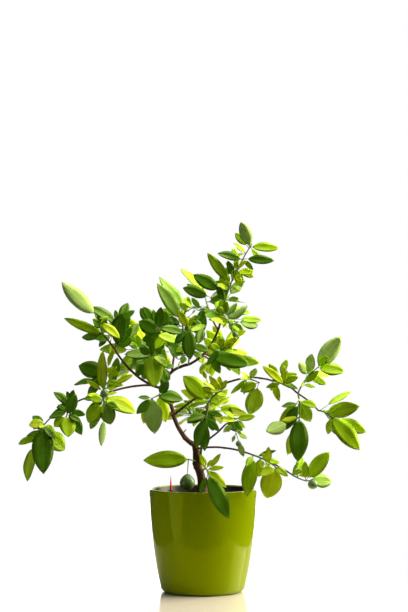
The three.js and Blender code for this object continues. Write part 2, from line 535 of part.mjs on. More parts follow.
    { at: 0.96, aim: -3, out: 12, long: 4, leaf: 50, wide: 0.6 },
    { at: 0.45, aim: 138, out: 5, long: 17, leaf: 66, wide: 0.42, turn: -1 },
    { at: 0.65, aim: 135, out: 25, long: 4, leaf: 36, wide: 0.54, turn: -1 },
    { at: 0.3, aim: 44, out: 30, long: 8, leaf: 40, wide: 0.4 },
    { at: 0.42, aim: 175, out: 15, long: 4, leaf: 30, wide: 0.42 },
    { at: 0.6, aim: 20, out: -35, long: 14, leaves: 3, leaf: 40 } ] },
  right_end_leaves: { from: "right_end", to: [256, -94, 353], bow: [0, 0, 3],
    seed: 28, middle: [252, -84, 354], shoots: [
    { at: 0.1, aim: 30, out: -15, long: 22, leaf: 60, wide: 0.24 },
    { at: 0.6, aim: -1, out: 30, long: 4, leaf: 72, wide: 0.48 },
    { at: 0.92, aim: -51, out: 10, long: 3, leaf: 82, wide: 0.46 },
    { at: 0.97, aim: -21, out: -10, long: 14, leaf: 62, wide: 0.44 },
    { at: 0.4, aim: -50, out: -25, long: 14, leaves: 3, leaf: 44 } ] },
  right_hanging: { from: "right_arch_outer", to: [190, -92, 352], bow: [2, 0, 2],
    seed: 29, middle: [188, -88, 332], reach: 66, shoots: [
    { at: 0.97, aim: 270, out: 6, long: 4, leaf: 84, wide: 0.46 },
    { at: 0.35, aim: -50, out: 34, long: 2, leaf: 60, wide: 0.56 },
    { at: 0.95, aim: 252, out: -12, long: 26, leaf: 54, wide: 0.5, turn: -1 },
    { at: 0.25, aim: 10, out: 5, long: 12, leaf: 38, wide: 0.66 },
    { at: 0.97, aim: 204, out: 10, long: 30, leaf: 44, wide: 0.7, turn: -1 },
    { at: 0.3, aim: 226, out: 5, long: 10, leaf: 54, wide: 0.34 },
    { at: 0.45, aim: 238, out: 14, long: 6, leaf: 54, wide: 0.4 } ] },
  low_right: { from: "whip", to: [146, -90, 254], bow: [0, 0, 3],
    seed: 30, shoots: [
    { at: 0.04, aim: 260, out: 24, long: 8, leaf: 78, wide: 0.42 },
    { at: 0.35, aim: -72, out: 26, long: 2, leaf: 50, wide: 0.6 },
    { at: 0.97, aim: 255, out: 4, long: 3, leaf: 62, wide: 0.7 },
    { at: 0.7, aim: 75, out: 5, long: 4, leaf: 34 },
    { at: 0.2, aim: 20, out: 20, long: 3, leaf: 38, wide: 0.26 },
    { at: 0.5, aim: -60, out: -10, long: 4, leaf: 46 },
    { at: 0.9, aim: -20, out: 15, long: 4, leaf: 34 } ] },
  low_right_end: { from: "whip_outer", to: [206, -86, 228], bow: [0, 0, -2],
    seed: 38, middle: [220, -76, 234], shoots: [
    { at: 0.08, aim: 118, out: 10, long: 3, leaf: 38, wide: 0.36 },
    { at: 0.9, aim: 58, out: 5, long: 8, leaf: 68, wide: 0.46 },
    { at: 0.96, aim: 4, out: 0, long: 10, leaf: 50, wide: 0.64 },
    { at: 0.97, aim: 18, out: 30, long: 14, leaves: 0, fruit: 20 },
    { at: 0.4, aim: 80, out: -20, long: 12, leaves: 2, leaf: 40 } ] },
  low_front: { from: "trunk", at: 0.3, to: [10, -116, 240], bow: [2, 0, 14],
    seed: 32, shoots: [
    { at: 0.97, aim: -66, out: 10, long: 3, leaf: 92, wide: 0.36 },
    { at: 0.7, aim: -38, out: 15, long: 3, leaf: 50, wide: 0.36 },
    { at: 0.6, aim: 110, out: 20, long: 4, leaf: 30 },
    { at: 0.8, aim: 64, out: 5, long: 12, leaf: 36, wide: 0.32 } ] },
  low_left: { from: "trunk", at: 0.53, to: [-30, -32, 268],
    seed: 33, shoots: [
    { at: 0.9, aim: 183, out: 4, long: 2, leaf: 90, wide: 0.4 },
    { at: 1, aim: 266, out: 14, long: 31, leaves: 0, fruit: 31 } ] },
  back_left_leaves: { from: "back_left", to: [-132, 196, 482], bow: [0, 0, 8],
    seed: 34, shoots: [
    { at: 0.1, aim: 120, out: 20, long: 26, leaves: 3, leaf: 58 },
    { at: 0.3, aim: 200, out: 0, long: 34, leaves: 4, leaf: 62 },
    { at: 0.5, aim: 20, out: -15, long: 34, leaves: 4, leaf: 62 },
    { at: 0.8, aim: 165, out: -20, long: 36, leaves: 4, leaf: 62 },
    { at: 0.97, aim: 70, out: -30, long: 30, leaves: 4, leaf: 60 } ] },
  back_right_leaves: { from: "back_right", to: [48, 200, 462], bow: [0, 0, 8],
    seed: 35, shoots: [
    { at: 0.1, aim: 70, out: 15, long: 26, leaves: 3, leaf: 58 },
    { at: 0.3, aim: 190, out: -10, long: 30, leaves: 3, leaf: 60 },
    { at: 0.5, aim: 8, out: 0, long: 26, leaves: 3, leaf: 56 },
    { at: 0.8, aim: 70, out: -30, long: 30, leaves: 4, leaf: 60 },
    { at: 0.97, aim: 100, out: -25, long: 30, leaves: 4, leaf: 60 } ] },
  back_low_leaves: { from: "back_low", to: [8, 196, 368], bow: [0, 0, 10],
    seed: 36, shoots: [
    { at: 0.15, aim: 170, out: 0, long: 34, leaves: 4, leaf: 58 },
    { at: 0.35, aim: 10, out: -5, long: 34, leaves: 4, leaf: 58 },
    { at: 0.6, aim: 185, out: -20, long: 34, leaves: 3, leaf: 58 },
    { at: 0.8, aim: 0, out: -30, long: 32, leaves: 3, leaf: 58 },
    { at: 0.97, aim: 80, out: -35, long: 28, leaves: 3, leaf: 58 } ] },
  back_top_leaves: { from: "back_top", to: [4, 118, 600], bow: [0, 0, -4],
    seed: 37, shoots: [
    { at: 0.15, aim: 10, out: 0, long: 28, leaves: 3, leaf: 54 },
    { at: 0.4, aim: 190, out: -5, long: 32, leaves: 4, leaf: 58 },
    { at: 0.7, aim: 15, out: -20, long: 28, leaves: 4, leaf: 58 },
    { at: 0.97, aim: 120, out: -15, long: 26, leaves: 4, leaf: 58 } ] },
};

// Repeatable numbers from 0 to 1, by the minimal standard generator.
function drawsFrom(seed) {
  let state = seed * 48271;
  return () => {
    state = (state * 16807) % 2147483647;
    return state / 2147483647;
  };
}

// The way a leaf's upper face turns: up, and out towards the nearer of the two open sides.
function facing(point) {
  const side = THREE.MathUtils.clamp((LIGHT.divide - point.y) / LIGHT.blend, -1, 1);
  return vec(0, -side, LIGHT.up).normalize();
}

// Every second try goes to the other side, each pair further.
function turnOfTry(attempt, step) {
  return radians(step * attempt * (attempt % 2 ? 1 : -1));
}

// The point of a leaf a share of the way along, a share of the half-width across.
function leafPoint(leaf, share, across, lift) {
  return leaf.root.clone()
    .addScaledVector(leaf.heading, leaf.stalk + share * leaf.length)
    .addScaledVector(leaf.normal, lift - leaf.curl * share * share)
    .addScaledVector(leaf.across, across * leaf.half);
}

// One leaf of a shoot. Leaves alternate in two ranks that lie in the plane facing the light, with one at
// the tip. A lone leaf has no twig: its own stalk is as long as the shoot would be. A later try is shorter
// and bends towards the middle of the mass.
function leafOf(shoot, curve, index, attempt, middle) {
  const draw = drawsFrom(shoot.seed + SEED.leaf * index + SEED.attempt * attempt);
  const last = index === shoot.leaves - 1;
  const lone = shoot.leaves === 1;
  const step = (STAND.last - STAND.first) / Math.max(1, shoot.leaves - 1);
  const onTwig = last ? STAND.tip : STAND.first + step * index;
  const share = lone ? 0 : onTwig;
  const along = curve.getTangent(share);
  const root = curve.getPoint(share);
  const lateral = facing(root).cross(along).normalize().multiplyScalar(index % 2 ? 1 : -1)
    .applyAxisAngle(along, turnOfTry(attempt, TRY.turn));
  const play = draw() - 0.5;
  const spread = last ? TRY.stray * (play + attempt) : radians(STAND.spread + STAND.play * play);
  const heading = along.clone().multiplyScalar(Math.cos(spread)).addScaledVector(lateral, Math.sin(spread));
  if (!last) {
    heading.addScaledVector(facing(root), STAND.toLight * (draw() - STAND.lightMean))
      .addScaledVector(UP, -STAND.droop * draw());
  }
  if (middle) heading.addScaledVector(middle.clone().sub(root).normalize(), TRY.inwards * attempt);
  heading.normalize();
  const size = last ? 1 : THREE.MathUtils.lerp(...STAND.size, draw());
  const length = shoot.leaf * size * (1 - TRY.shrink * attempt);
  const normal = facing(root).multiplyScalar(shoot.turn ?? 1)
    .add(vec(draw() - 0.5, draw() - 0.5, draw() - 0.5).multiplyScalar(STAND.face));
  normal.addScaledVector(heading, -normal.dot(heading)).normalize();
  return {
    root,
    heading,
    normal,
    across: heading.clone().cross(normal),
    length,
    half: 0.5 * (shoot.wide ?? LEAF.width) * length,
    stalk: lone ? shoot.long : LEAF.stalk,
    curl: length * THREE.MathUtils.lerp(...LEAF.curl, draw()),
  };
}

// A shoot's curve sags a little. A later try is shorter and leans towards the viewer or away.
function shootCurve(stem, { at, aim, out, long }, attempt = 0) {
  const start = stem.getPoint(Math.min(at, STEM.sunkEnd));
  const lean = radians(out) + turnOfTry(attempt, SHOOT.leanTries);
  const reach = long * (1 - SHOOT.shorterTries * attempt);
  const way = vec(Math.cos(radians(aim)) * Math.cos(lean), -Math.sin(lean),
    Math.sin(radians(aim)) * Math.cos(lean));
  const end = start.clone().addScaledVector(way, reach).addScaledVector(UP, -SHOOT.sag * reach);
  return new THREE.QuadraticBezierCurve3(start, start.clone().addScaledVector(way, reach / 2), end);
}

// A fruit hangs from its shoot's tip, which is sunk into it.
function fruitCentre(curve, diameter) {
  const sunk = 0.42;
  return curve.getPoint(1).addScaledVector(UP, -sunk * diameter);
}

// A mass as the rule first asks for it. Its middle is that of its leaves and fruit, and its reach is how
// far they lie from it, each taken as an even rod, unless its row names them.
function planned(mass) {
  const stem = bowed(limbCurves[mass.from].getPoint(mass.at ?? 1), mass.to, mass.bow);
  const shoots = mass.shoots.map((shoot, index) => (
    { leaves: 1, ...shoot, seed: SEED.mass * mass.seed + SEED.shoot * index }));
  const rods = shoots.flatMap((shoot) => {
    const curve = shootCurve(stem, shoot);
    const leaves = Array.from({ length: shoot.leaves }, (_, index) => leafOf(shoot, curve, index, 0));
    const found = leaves.map((leaf) => ({ place: leafPoint(leaf, 0.5, 0, 0), size: leaf.length }));
    if (shoot.fruit) found.push({ place: fruitCentre(curve, shoot.fruit), size: shoot.fruit });
    return found;
  });
  const centre = mass.middle ? vec(...mass.middle)
    : rods.reduce((sum, { place }) => sum.add(place), vec(0, 0, 0)).divideScalar(rods.length);
  const spread = ({ place, size }) => place.distanceToSquared(centre) + size * size / 12;
  const mean = rods.reduce((sum, rod) => sum + spread(rod), 0) / rods.length;
  const reach = mass.reach ?? Math.max(Math.sqrt(mean), LEAST_REACH);
  return { ...mass, stem, shoots, centre, reach2: reach * reach };
}

const plans = Object.entries(MASSES).map(([name, mass]) => ({ name, ...planned(mass) }));

// A mass keeps to its own cell: the points nearer to its middle than to any other, by its reach.
function inOwnCell(plan, point) {
  const own = point.distanceToSquared(plan.centre) - plan.reach2;
  return plans.every((other) => {
    if (other === plan) return true;
    const theirs = point.distanceToSquared(other.centre) - other.reach2;
    return (theirs - own) / (2 * plan.centre.distanceTo(other.centre)) > GAP;
  });
}

// Round beads along a limb, which leaves and twigs of others keep clear of.
function beads(curve, [thick, thin], owner) {
  const spacing = 3;
  const count = Math.ceil(curve.getLength() / spacing);
  return Array.from({ length: count + 1 }, (_, bead) => ({
    centre: curve.getPoint(bead / count),
    radius: THREE.MathUtils.lerp(thick, thin, bead / count),
    owner,
  }));
}

const obstacles = [
  ...beads(trunkCurve, [TRUNK_RADIUS.foot, TRUNK_RADIUS.fork]),
  ...Object.entries(BOUGHS).flatMap(([name, { radius }]) => beads(limbCurves[name], radius)),
  ...plans.flatMap((plan) => beads(plan.stem, STEM.radius, plan)),
];

// Where a point stands against a leaf: its share of the way along, its way across, and its height.
function against(leaf, point) {
  const offset = point.clone().sub(leaf.root);
  const share = (offset.dot(leaf.heading) - leaf.stalk) / leaf.length;
  return {
    share,
    across: Math.abs(offset.dot(leaf.across)),
    lift: offset.dot(leaf.normal) + leaf.curl * share * share,
  };
}

// A leaf's half-width a share of the way along.
function halfAt(leaf, share) {
  return leaf.half * Math.min(1, share / LEAF.broad[0], (1 - share) / (1 - LEAF.broad[1]));
}

function leafTouches(leaf, { centre, radius }) {
  const { share, across, lift } = against(leaf, centre);
  const near = radius + CLEARANCE;
  const beside = share < 0 || share > 1 || across > halfAt(leaf, share) + near;
  return !beside && Math.abs(lift) < near + LEAF.fold * leaf.half;
}

const CUT_ALONG = [0.2, 0.4, 0.6, 0.8, 1];
const CUT_ACROSS = [-0.9, -0.45, 0, 0.45, 0.9];

// Whether a blade cuts another: some of its points lie on one side of the other and some on the other
// side, or close to it.
function cuts(leaf, other) {
  let [above, below] = [false, false];
  for (const along of CUT_ALONG) {
    for (const side of CUT_ACROSS) {
      const width = side * halfAt(leaf, along) / leaf.half;
      const { share, across, lift } = against(other, leafPoint(leaf, along, width, 0));
      if (share < 0 || share > 1 || across > halfAt(other, share) + CLEARANCE) continue;
      above ||= lift > -CLEARANCE;
      below ||= lift < CLEARANCE;
    }
  }
  return above && below;
}

function clearOfPot({ x, y, z }) {
  const off = Math.hypot(x, y);
  const room = 2;
  const overSoil = off < insideRadius(COLLAR_FOOT) - LINER_COLLAR_DROP && z > SOIL_MIDDLE + room;
  return z > POT_HEIGHT + room || off > POT_RIM_RADIUS + room || overSoil;
}

// A leaf fits in its mass's cell, clear of the pot, of every limb and stem, and of the mass's own leaves.
// Near its root it may touch the twig that it grows on.
function leafFits(plan, leaf, twigs, leaves) {
  const corners = [leaf.root, leafPoint(leaf, 1, 0, 0)];
  for (const [share, width] of LEAF_STATIONS) {
    const rise = LEAF.fold * leaf.half;
    corners.push(leafPoint(leaf, share, width, rise), leafPoint(leaf, share, -width, rise));
  }
  return corners.every((corner) => inOwnCell(plan, corner) && clearOfPot(corner))
    && obstacles.every((bead) => bead.owner === plan || !leafTouches(leaf, bead))
    && twigs.every((bead) => bead.centre.distanceTo(leaf.root) < ROOT_ROOM || !leafTouches(leaf, bead))
    && leaves.every((other) => !cuts(leaf, other) && !cuts(other, leaf));
}

// A shoot fits if it, and its fruit, keep to the cell and clear of the pot and of every other limb.
function shootFits(plan, curve, fruit) {
  const own = beads(curve, SHOOT.radius, plan);
  if (fruit) own.push({ centre: fruitCentre(curve, fruit), radius: fruit / 2 });
  return own.every(({ centre, radius }) => inOwnCell(plan, centre) && clearOfPot(centre)
    && obstacles.every((bead) => bead.owner === plan
      || bead.centre.distanceTo(centre) > bead.radius + radius + CLEARANCE));
}

// The first of a few tries that fits, or null: then the shoot or the leaf is skipped.
function firstFit(make, fits) {
  for (let attempt = 0; attempt < TRY.count; attempt++) {
    const made = make(attempt);
    if (fits(made)) return made;
  }
  return null;
}

// A leaf is a three-sided blade: two raised edges and a keel, from a root inside the twig to its tip.
function leafSolid(leaf) {
  const stations = leaf.length < SMALL_LEAF ? SMALL_LEAF_STATIONS : LEAF_STATIONS;
  const root = ROOT_CORNERS.map(([side, rise]) => leaf.root.clone()
    .addScaledVector(leaf.across, side * LEAF.rootRadius)
    .addScaledVector(leaf.normal, rise * LEAF.rootRadius));
  const rings = stations.map(([share, width]) => {
    const rise = LEAF.fold * leaf.half * width;
    return [leafPoint(leaf, share, -width, rise), leafPoint(leaf, share, width, rise),
      leafPoint(leaf, share, 0, -LEAF.keel * leaf.length)];
  });
  return skin([root, ...rings], leafPoint(leaf, 1, 0, 0));
}

function twigSolid(curve, { sides, steps, radius: [thick, thin] }, grow) {
  return taperedLimb(curve, (share) => THREE.MathUtils.lerp(thick, thin, share) + grow, sides, steps);
}

function fruitSolid(curve, diameter) {
  const ball = new THREE.IcosahedronGeometry(diameter / 2, 1);
  return toSolid(ball.translate(...fruitCentre(curve, diameter)));
}

// The shoots of a mass that fit, each with its curve. A lone leaf grows on the stem by its own stalk.
function grownShoots(plan) {
  const shoots = plan.shoots.map((shoot) => {
    const make = (attempt) => shootCurve(plan.stem, shoot, attempt);
    const curve = shoot.leaves === 1 ? make(0) : firstFit(make, (c) => shootFits(plan, c, shoot.fruit));
    return { ...shoot, curve };
  });
  return shoots.filter(({ curve }) => curve);
}

// The leaves of a mass that fit: lone leaves first, then the ones at the shoots' tips, then the others.
function grownLeaves(plan, shoots, twigs) {
  const leaves = [];
  const grow = (shoot, index) => {
    const leaf = firstFit((attempt) => leafOf(shoot, shoot.curve, index, attempt, plan.centre),
      (made) => leafFits(plan, made, twigs, leaves));
    if (leaf) leaves.push(leaf);
  };
  for (const shoot of shoots) if (shoot.leaves === 1) grow(shoot, 0);
  for (const shoot of shoots) if (shoot.leaves > 1) grow(shoot, shoot.leaves - 1);
  for (const shoot of shoots) for (let index = 0; index < shoot.leaves - 1; index++) grow(shoot, index);
  return leaves;
}

const FOLIAGE = material(0x4f8a18, 0.45);
const earlierStems = [];
for (const plan of plans) {
  const shoots = grownShoots(plan);
  const twigs = beads(plan.stem, STEM.radius);
  let solid = twigSolid(plan.stem, STEM, 0);
  for (const { curve, leaves, fruit } of shoots) {
    if (leaves !== 1) {
      solid = solid.add(twigSolid(curve, SHOOT, 0));
      twigs.push(...beads(curve, SHOOT.radius));
    }
    if (fruit) {
      solid = solid.add(fruitSolid(curve, fruit));
      twigs.push({ centre: fruitCentre(curve, fruit), radius: fruit / 2 });
    }
  }
  const leaves = grownLeaves(plan, shoots, twigs);
  for (const leaf of leaves) solid = solid.add(leafSolid(leaf));
  for (const shell of [...limbShells, ...earlierStems]) solid = solid.subtract(shell);
  node(plan.name, solid, FOLIAGE);
  earlierStems.push(twigSolid(plan.stem, STEM, 2 * GAP));
}

export default tree;
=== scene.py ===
import math
import bpy
import numpy as np
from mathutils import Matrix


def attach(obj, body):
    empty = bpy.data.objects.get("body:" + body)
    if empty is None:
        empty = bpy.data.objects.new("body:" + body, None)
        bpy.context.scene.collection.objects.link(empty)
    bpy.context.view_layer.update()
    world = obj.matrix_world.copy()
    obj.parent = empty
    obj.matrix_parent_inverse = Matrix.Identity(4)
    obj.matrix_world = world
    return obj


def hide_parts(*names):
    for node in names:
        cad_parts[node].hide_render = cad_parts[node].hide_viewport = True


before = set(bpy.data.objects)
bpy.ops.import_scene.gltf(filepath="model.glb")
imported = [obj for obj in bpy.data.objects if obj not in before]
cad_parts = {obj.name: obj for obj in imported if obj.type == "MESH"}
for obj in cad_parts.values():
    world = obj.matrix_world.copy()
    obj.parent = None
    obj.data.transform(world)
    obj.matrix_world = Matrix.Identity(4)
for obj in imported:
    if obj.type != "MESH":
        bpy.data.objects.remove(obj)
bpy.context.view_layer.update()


# The planter is a round outer pot, moulded in one piece from high-gloss olive plastic. Its wall swells
# towards a thin rolled lip, and it stands on a shallow ring under a rounded foot.
MM = 0.001
POT_HEIGHT = 207
POT_RIM = 108
POT_FOOT = 74
POT_FOOT_ROUND = 12
POT_WALL = 4
POT_FLOOR = 5
POT_BULGE = (105.5, 90)
FOOT_RING = (58, 61, 1.6)
ROUND = 160


def put_mesh(name, finishes, points, faces, places=None, marks=None):
    """Makes a smooth object from points in millimetres (n by 3) and a list of arrays of faces, each n by
    3 or n by 4 vertex numbers. places is each vertex's spot on its own map, marks is each face's finish."""
    mesh = bpy.data.meshes.new(name)
    for finish in finishes:
        mesh.materials.append(finish.material)
    corners = np.concatenate([part.ravel() for part in faces])
    sizes = np.concatenate([np.full(len(part), part.shape[1]) for part in faces])
    mesh.vertices.add(len(points))
    mesh.vertices.foreach_set("co", (points * MM).ravel())
    mesh.loops.add(len(corners))
    mesh.loops.foreach_set("vertex_index", corners.astype(np.int32))
    mesh.polygons.add(len(sizes))
    mesh.polygons.foreach_set("loop_start", (np.cumsum(sizes) - sizes).astype(np.int32))
    mesh.polygons.foreach_set("use_smooth", np.ones(len(sizes), bool))
    if marks is not None:
        mesh.polygons.foreach_set("material_index", marks.astype(np.int32))
    if places is not None:
        mesh.uv_layers.new(name="UVMap").data.foreach_set("uv", places[corners].ravel())
    mesh.update(calc_edges=True)
    mesh.validate()
    piece = bpy.data.objects.new(name, mesh)
    bpy.context.scene.collection.objects.link(piece)
    return piece


def arc(middle, radius, first, last, count):
    """Points of a circle from one angle to another, in degrees: middle + radius (cos a, sin a)."""
    angle = np.radians(np.linspace(first, last, count))
    return np.stack([middle[0] + radius * np.cos(angle), middle[1] + radius * np.sin(angle)], 1)


def bezier(points, share):
    """A quadratic curve's points at shares t of its way: (1 - t)^2 A + 2 t (1 - t) B + t^2 C."""
    start, middle, end = np.asarray(points, float)
    t = np.asarray(share, float)[..., None]
    return (1 - t) ** 2 * start + 2 * t * (1 - t) * middle + t ** 2 * end


def ring_faces(rings, sides):
    """The faces of a closed skin of rings of points: four-cornered ones between the rings, and a fan to a
    pole at each end. The two poles are numbered after the rings."""
    here = np.arange(rings * sides).reshape(rings, sides)
    after = np.roll(here, -1, 1)
    wall = np.stack([here[:-1], after[:-1], after[1:], here[1:]], 2).reshape(-1, 4)
    low = np.stack([after[0], here[0], np.full(sides, rings * sides)], 1)
    high = np.stack([here[-1], after[-1], np.full(sides, rings * sides + 1)], 1)
    return [wall, low, high]


def revolved(profile, sides=ROUND):
    """A line of (radius, height), from the axis and back to it, carried round Z: x = r cos a, y = r sin a,
    z = h. Its two ends on the axis are single poles. Gives the points and the faces."""
    profile = np.concatenate([np.atleast_2d(part) for part in profile])
    angle = np.arange(sides) * 2 * np.pi / sides
    radius, height = profile[1:-1].T
    rings = np.stack([np.outer(radius, np.cos(angle)), np.outer(radius, np.sin(angle)),
                      np.repeat(height[:, None], sides, 1)], 2)
    points = np.concatenate([rings.reshape(-1, 3), [[0, 0, profile[0, 1]], [0, 0, profile[-1, 1]]]])
    return points, ring_faces(len(radius), sides)


def pot_wall(inset, count):
    """The pot's wall line from the foot up to the lip, set in by a thickness."""
    foot = (POT_FOOT + POT_FOOT_ROUND - inset, POT_FOOT_ROUND)
    bulge = (POT_BULGE[0] - inset, POT_BULGE[1])
    return bezier([foot, bulge, (POT_RIM - inset, POT_HEIGHT - POT_WALL / 2)], np.linspace(0, 1, count))


class Value:
    """A number that varies over a surface: Python's operators on it add Math nodes."""

    def __init__(self, finish, socket):
        self.finish = finish
        self.socket = socket

    def math(self, operation, *others):
        inputs = dict(enumerate((self, *others)))
        return self.finish.add("ShaderNodeMath", {"operation": operation}, inputs)

    def __add__(self, other):
        return self.math("ADD", other)

    def __sub__(self, other):
        return self.math("SUBTRACT", other)

    def __rsub__(self, other):
        return self * -1 + other

    def __mul__(self, other):
        return self.math("MULTIPLY", other)

    __radd__ = __add__
    __rmul__ = __mul__


class Finish:
    """A material with one Principled shader. What is even all over is set on the shader's sockets."""

    def __init__(self, name, even):
        self.material = bpy.data.materials.new(name)
        self.material.use_nodes = True
        self.tree = self.material.node_tree
        self.shader = self.tree.nodes["Principled BSDF"]
        self.fill(self.shader, even)

    def fill(self, node, inputs):
        for key, value in inputs.items():
            if isinstance(value, Value):
                self.tree.links.new(value.socket, node.inputs[key])
            else:
                node.inputs[key].default_value = value

    def add(self, kind, settings=None, inputs=None, output=0):
        """Adds a node of a type, with its settings first and then its sockets' values or links."""
        node = self.tree.nodes.new(kind)
        for key, value in (settings or {}).items():
            setattr(node, key, value)
        self.fill(node, inputs or {})
        return Value(self, node.outputs[output])

    def object_place(self):
        return self.add("ShaderNodeTexCoord", output="Object")

    def noise(self, place, scale, detail=2.0):
        return self.add("ShaderNodeTexNoise", {}, {"Vector": place, "Scale": scale, "Detail": detail})

    def ramp(self, value, low, high):
        """0 below low, 1 above high and straight between."""
        inputs = {"Value": value, "From Min": low, "From Max": high}
        return self.add("ShaderNodeMapRange", {"clamp": True}, inputs)

    def blend(self, share, first, second):
        """A colour that goes from the first to the second with the share."""
        return self.add("ShaderNodeMix", {"data_type": "RGBA"}, {0: share, 6: first, 7: second}, 2)

    def bump(self, height, strength, distance):
        return self.add("ShaderNodeBump", {}, {"Height": height, "Strength": strength, "Distance": distance})


def gloss_plastic(name, dark, light, roughness, tint=(1, 1, 1)):
    """Moulded plastic: a faint cloud in the colour, slight orange peel, and handling marks that dull it."""
    finish = Finish(name, {"Specular IOR Level": 0.6, "IOR": 1.3, "Specular Tint": (*tint, 1)})
    place = finish.object_place()
    cloud = finish.noise(place, 9.0)
    marks = finish.ramp(finish.noise(place, 34.0, 5.0), 0.52, 0.75)
    peel = finish.noise(place, 420.0, 1.0)
    finish.fill(finish.shader, {
        "Base Color": finish.blend(cloud, (*dark, 1), (*light, 1)),
        "Roughness": marks * 0.07 + roughness,
        "Normal": finish.bump(peel, 0.05, 0.0004)})
    return finish


olive = gloss_plastic("olive_gloss", (0.185, 0.25, 0.0), (0.21, 0.28, 0.0), 0.06, (0.95, 1, 0.0))
ring_in, ring_out, ring_rise = FOOT_RING
lip = POT_WALL / 2
pot_profile = [
    (0, ring_rise), (ring_in, ring_rise), (ring_out, 0),
    arc((POT_FOOT, POT_FOOT_ROUND), POT_FOOT_ROUND, -90, -15, 9), pot_wall(0, 48)[1:-1],
    arc((POT_RIM - lip, POT_HEIGHT - lip), lip, 0, 180, 11), pot_wall(POT_WALL, 24)[::-1][1:-1],
    (POT_FOOT, POT_FLOOR), (0, POT_FLOOR)]
planter = put_mesh("planter", [olive], *revolved(pot_profile))
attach(planter, "root")
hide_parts("pot")


# The liner is a thinner basket of dark aubergine plastic that hangs in the pot by its collar and keeps
# the soil above the water. Only its collar and the top of its wall show.
LINER_TOP = 205
LINER_WALL = 2
LINER_FLOOR = 30
LINER_FOOT = 56
LINER_BASKET = 72
COLLAR_DROP = 22
LINER_LEDGE = 3
COLLAR_PLAY = 0.5
GAP = 0.35
COLLAR_FOOT = LINER_TOP - COLLAR_DROP


def pot_inside(height):
    """The room inside the pot's wall at a height."""
    wall = pot_wall(POT_WALL, 60)
    return float(np.interp(height, wall[:, 1], wall[:, 0]))


aubergine = gloss_plastic("aubergine_plastic", (0.016, 0.008, 0.014), (0.026, 0.014, 0.024), 0.3)
collar = pot_inside(COLLAR_FOOT) - GAP - COLLAR_PLAY
lip_round = LINER_WALL / 2
liner_profile = [
    (0, LINER_FLOOR), (LINER_FOOT - LINER_WALL, LINER_FLOOR), (LINER_FOOT - LINER_WALL, POT_FLOOR + GAP),
    (LINER_FOOT, POT_FLOOR + GAP), (LINER_FOOT, LINER_FLOOR), (LINER_BASKET, LINER_FLOOR),
    (collar - LINER_LEDGE, COLLAR_FOOT), (collar, COLLAR_FOOT),
    arc((collar - lip_round, LINER_TOP - lip_round), lip_round, 0, 180, 7),
    (collar - LINER_WALL - LINER_LEDGE, COLLAR_FOOT), (LINER_BASKET - LINER_WALL, LINER_FLOOR + LINER_WALL),
    (0, LINER_FLOOR + LINER_WALL)]
basket = put_mesh("planter_liner", [aubergine], *revolved(liner_profile))
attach(basket, "root")
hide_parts("liner")


# The soil is moist, dark potting mix, heaped a little towards the trunk, with crumbs and bits of bark
# lying loose on its top.
SOIL_MIDDLE = 190
SOIL_EDGE = 186
SOIL_FLAT = 45
SOIL_ROOM = 2
SOIL_RINGS = 64
SOIL_SETTLED = 0.9
SOIL_SKIRT = 6
CRUMBS = 900
CRUMB_SIZE = (0.7, 1.9)
CRUMB_UNEVEN = (0.5, 1.6)
CRUMB_LEAST_AREA = 0.015
CRUMB_RISE = 0.4
CRUMB_EDGE = 3

# The soil's lumps: how high and how long each kind is, and its seed.
LUMPS = [(0.7, 9, 11), (0.35, 3.5, 12)]


def ruffle(points, size, seed, waves=28):
    """Smooth noise about 0: the mean of plane sine waves in random directions, about size long."""
    draw = np.random.default_rng(seed)
    way = draw.normal(size=(3, waves))
    way *= 2 * np.pi / size * draw.uniform(0.6, 1.7, waves) / np.linalg.norm(way, axis=0)
    return np.sin(points @ way + draw.uniform(0, 2 * np.pi, waves)).mean(1) * math.sqrt(waves / 8)


class Pile:
    """The parts of one joined mesh: their points, faces, spots on its own map and finishes."""

    def __init__(self):
        self.points, self.faces, self.marks, self.places = [], [], [], []
        self.count = 0

    def add(self, points, faces, places=None, mark=0):
        """Adds one part. mark is its finish, or one finish for each array of its faces."""
        self.points.append(points)
        self.faces += [part + self.count for part in faces]
        marks = np.broadcast_to(mark, len(faces))
        self.marks += [np.full(len(part), own) for part, own in zip(faces, marks)]
        self.places.append(np.zeros((len(points), 2)) if places is None else places)
        self.count += len(points)

    def put(self, name, finishes):
        points, places, marks = (np.concatenate(part) for part in (self.points, self.places, self.marks))
        return put_mesh(name, finishes, points, self.faces, places, marks)


def soil_finish():
    """Dark crumbs, blotched by damp, over a rough bump."""
    finish = Finish("potting_soil", {"Roughness": 0.92, "Specular IOR Level": 0.3})
    place = finish.object_place()
    blotch = finish.ramp(finish.noise(place, 90.0, 4.0), 0.35, 0.7)
    grain = finish.noise(place, 700.0, 3.0)
    finish.fill(finish.shader, {
        "Base Color": finish.blend(blotch, (0.009, 0.005, 0.005, 1), (0.034, 0.018, 0.014, 1)),
        "Normal": finish.bump(grain, 0.7, 0.002)})
    return finish


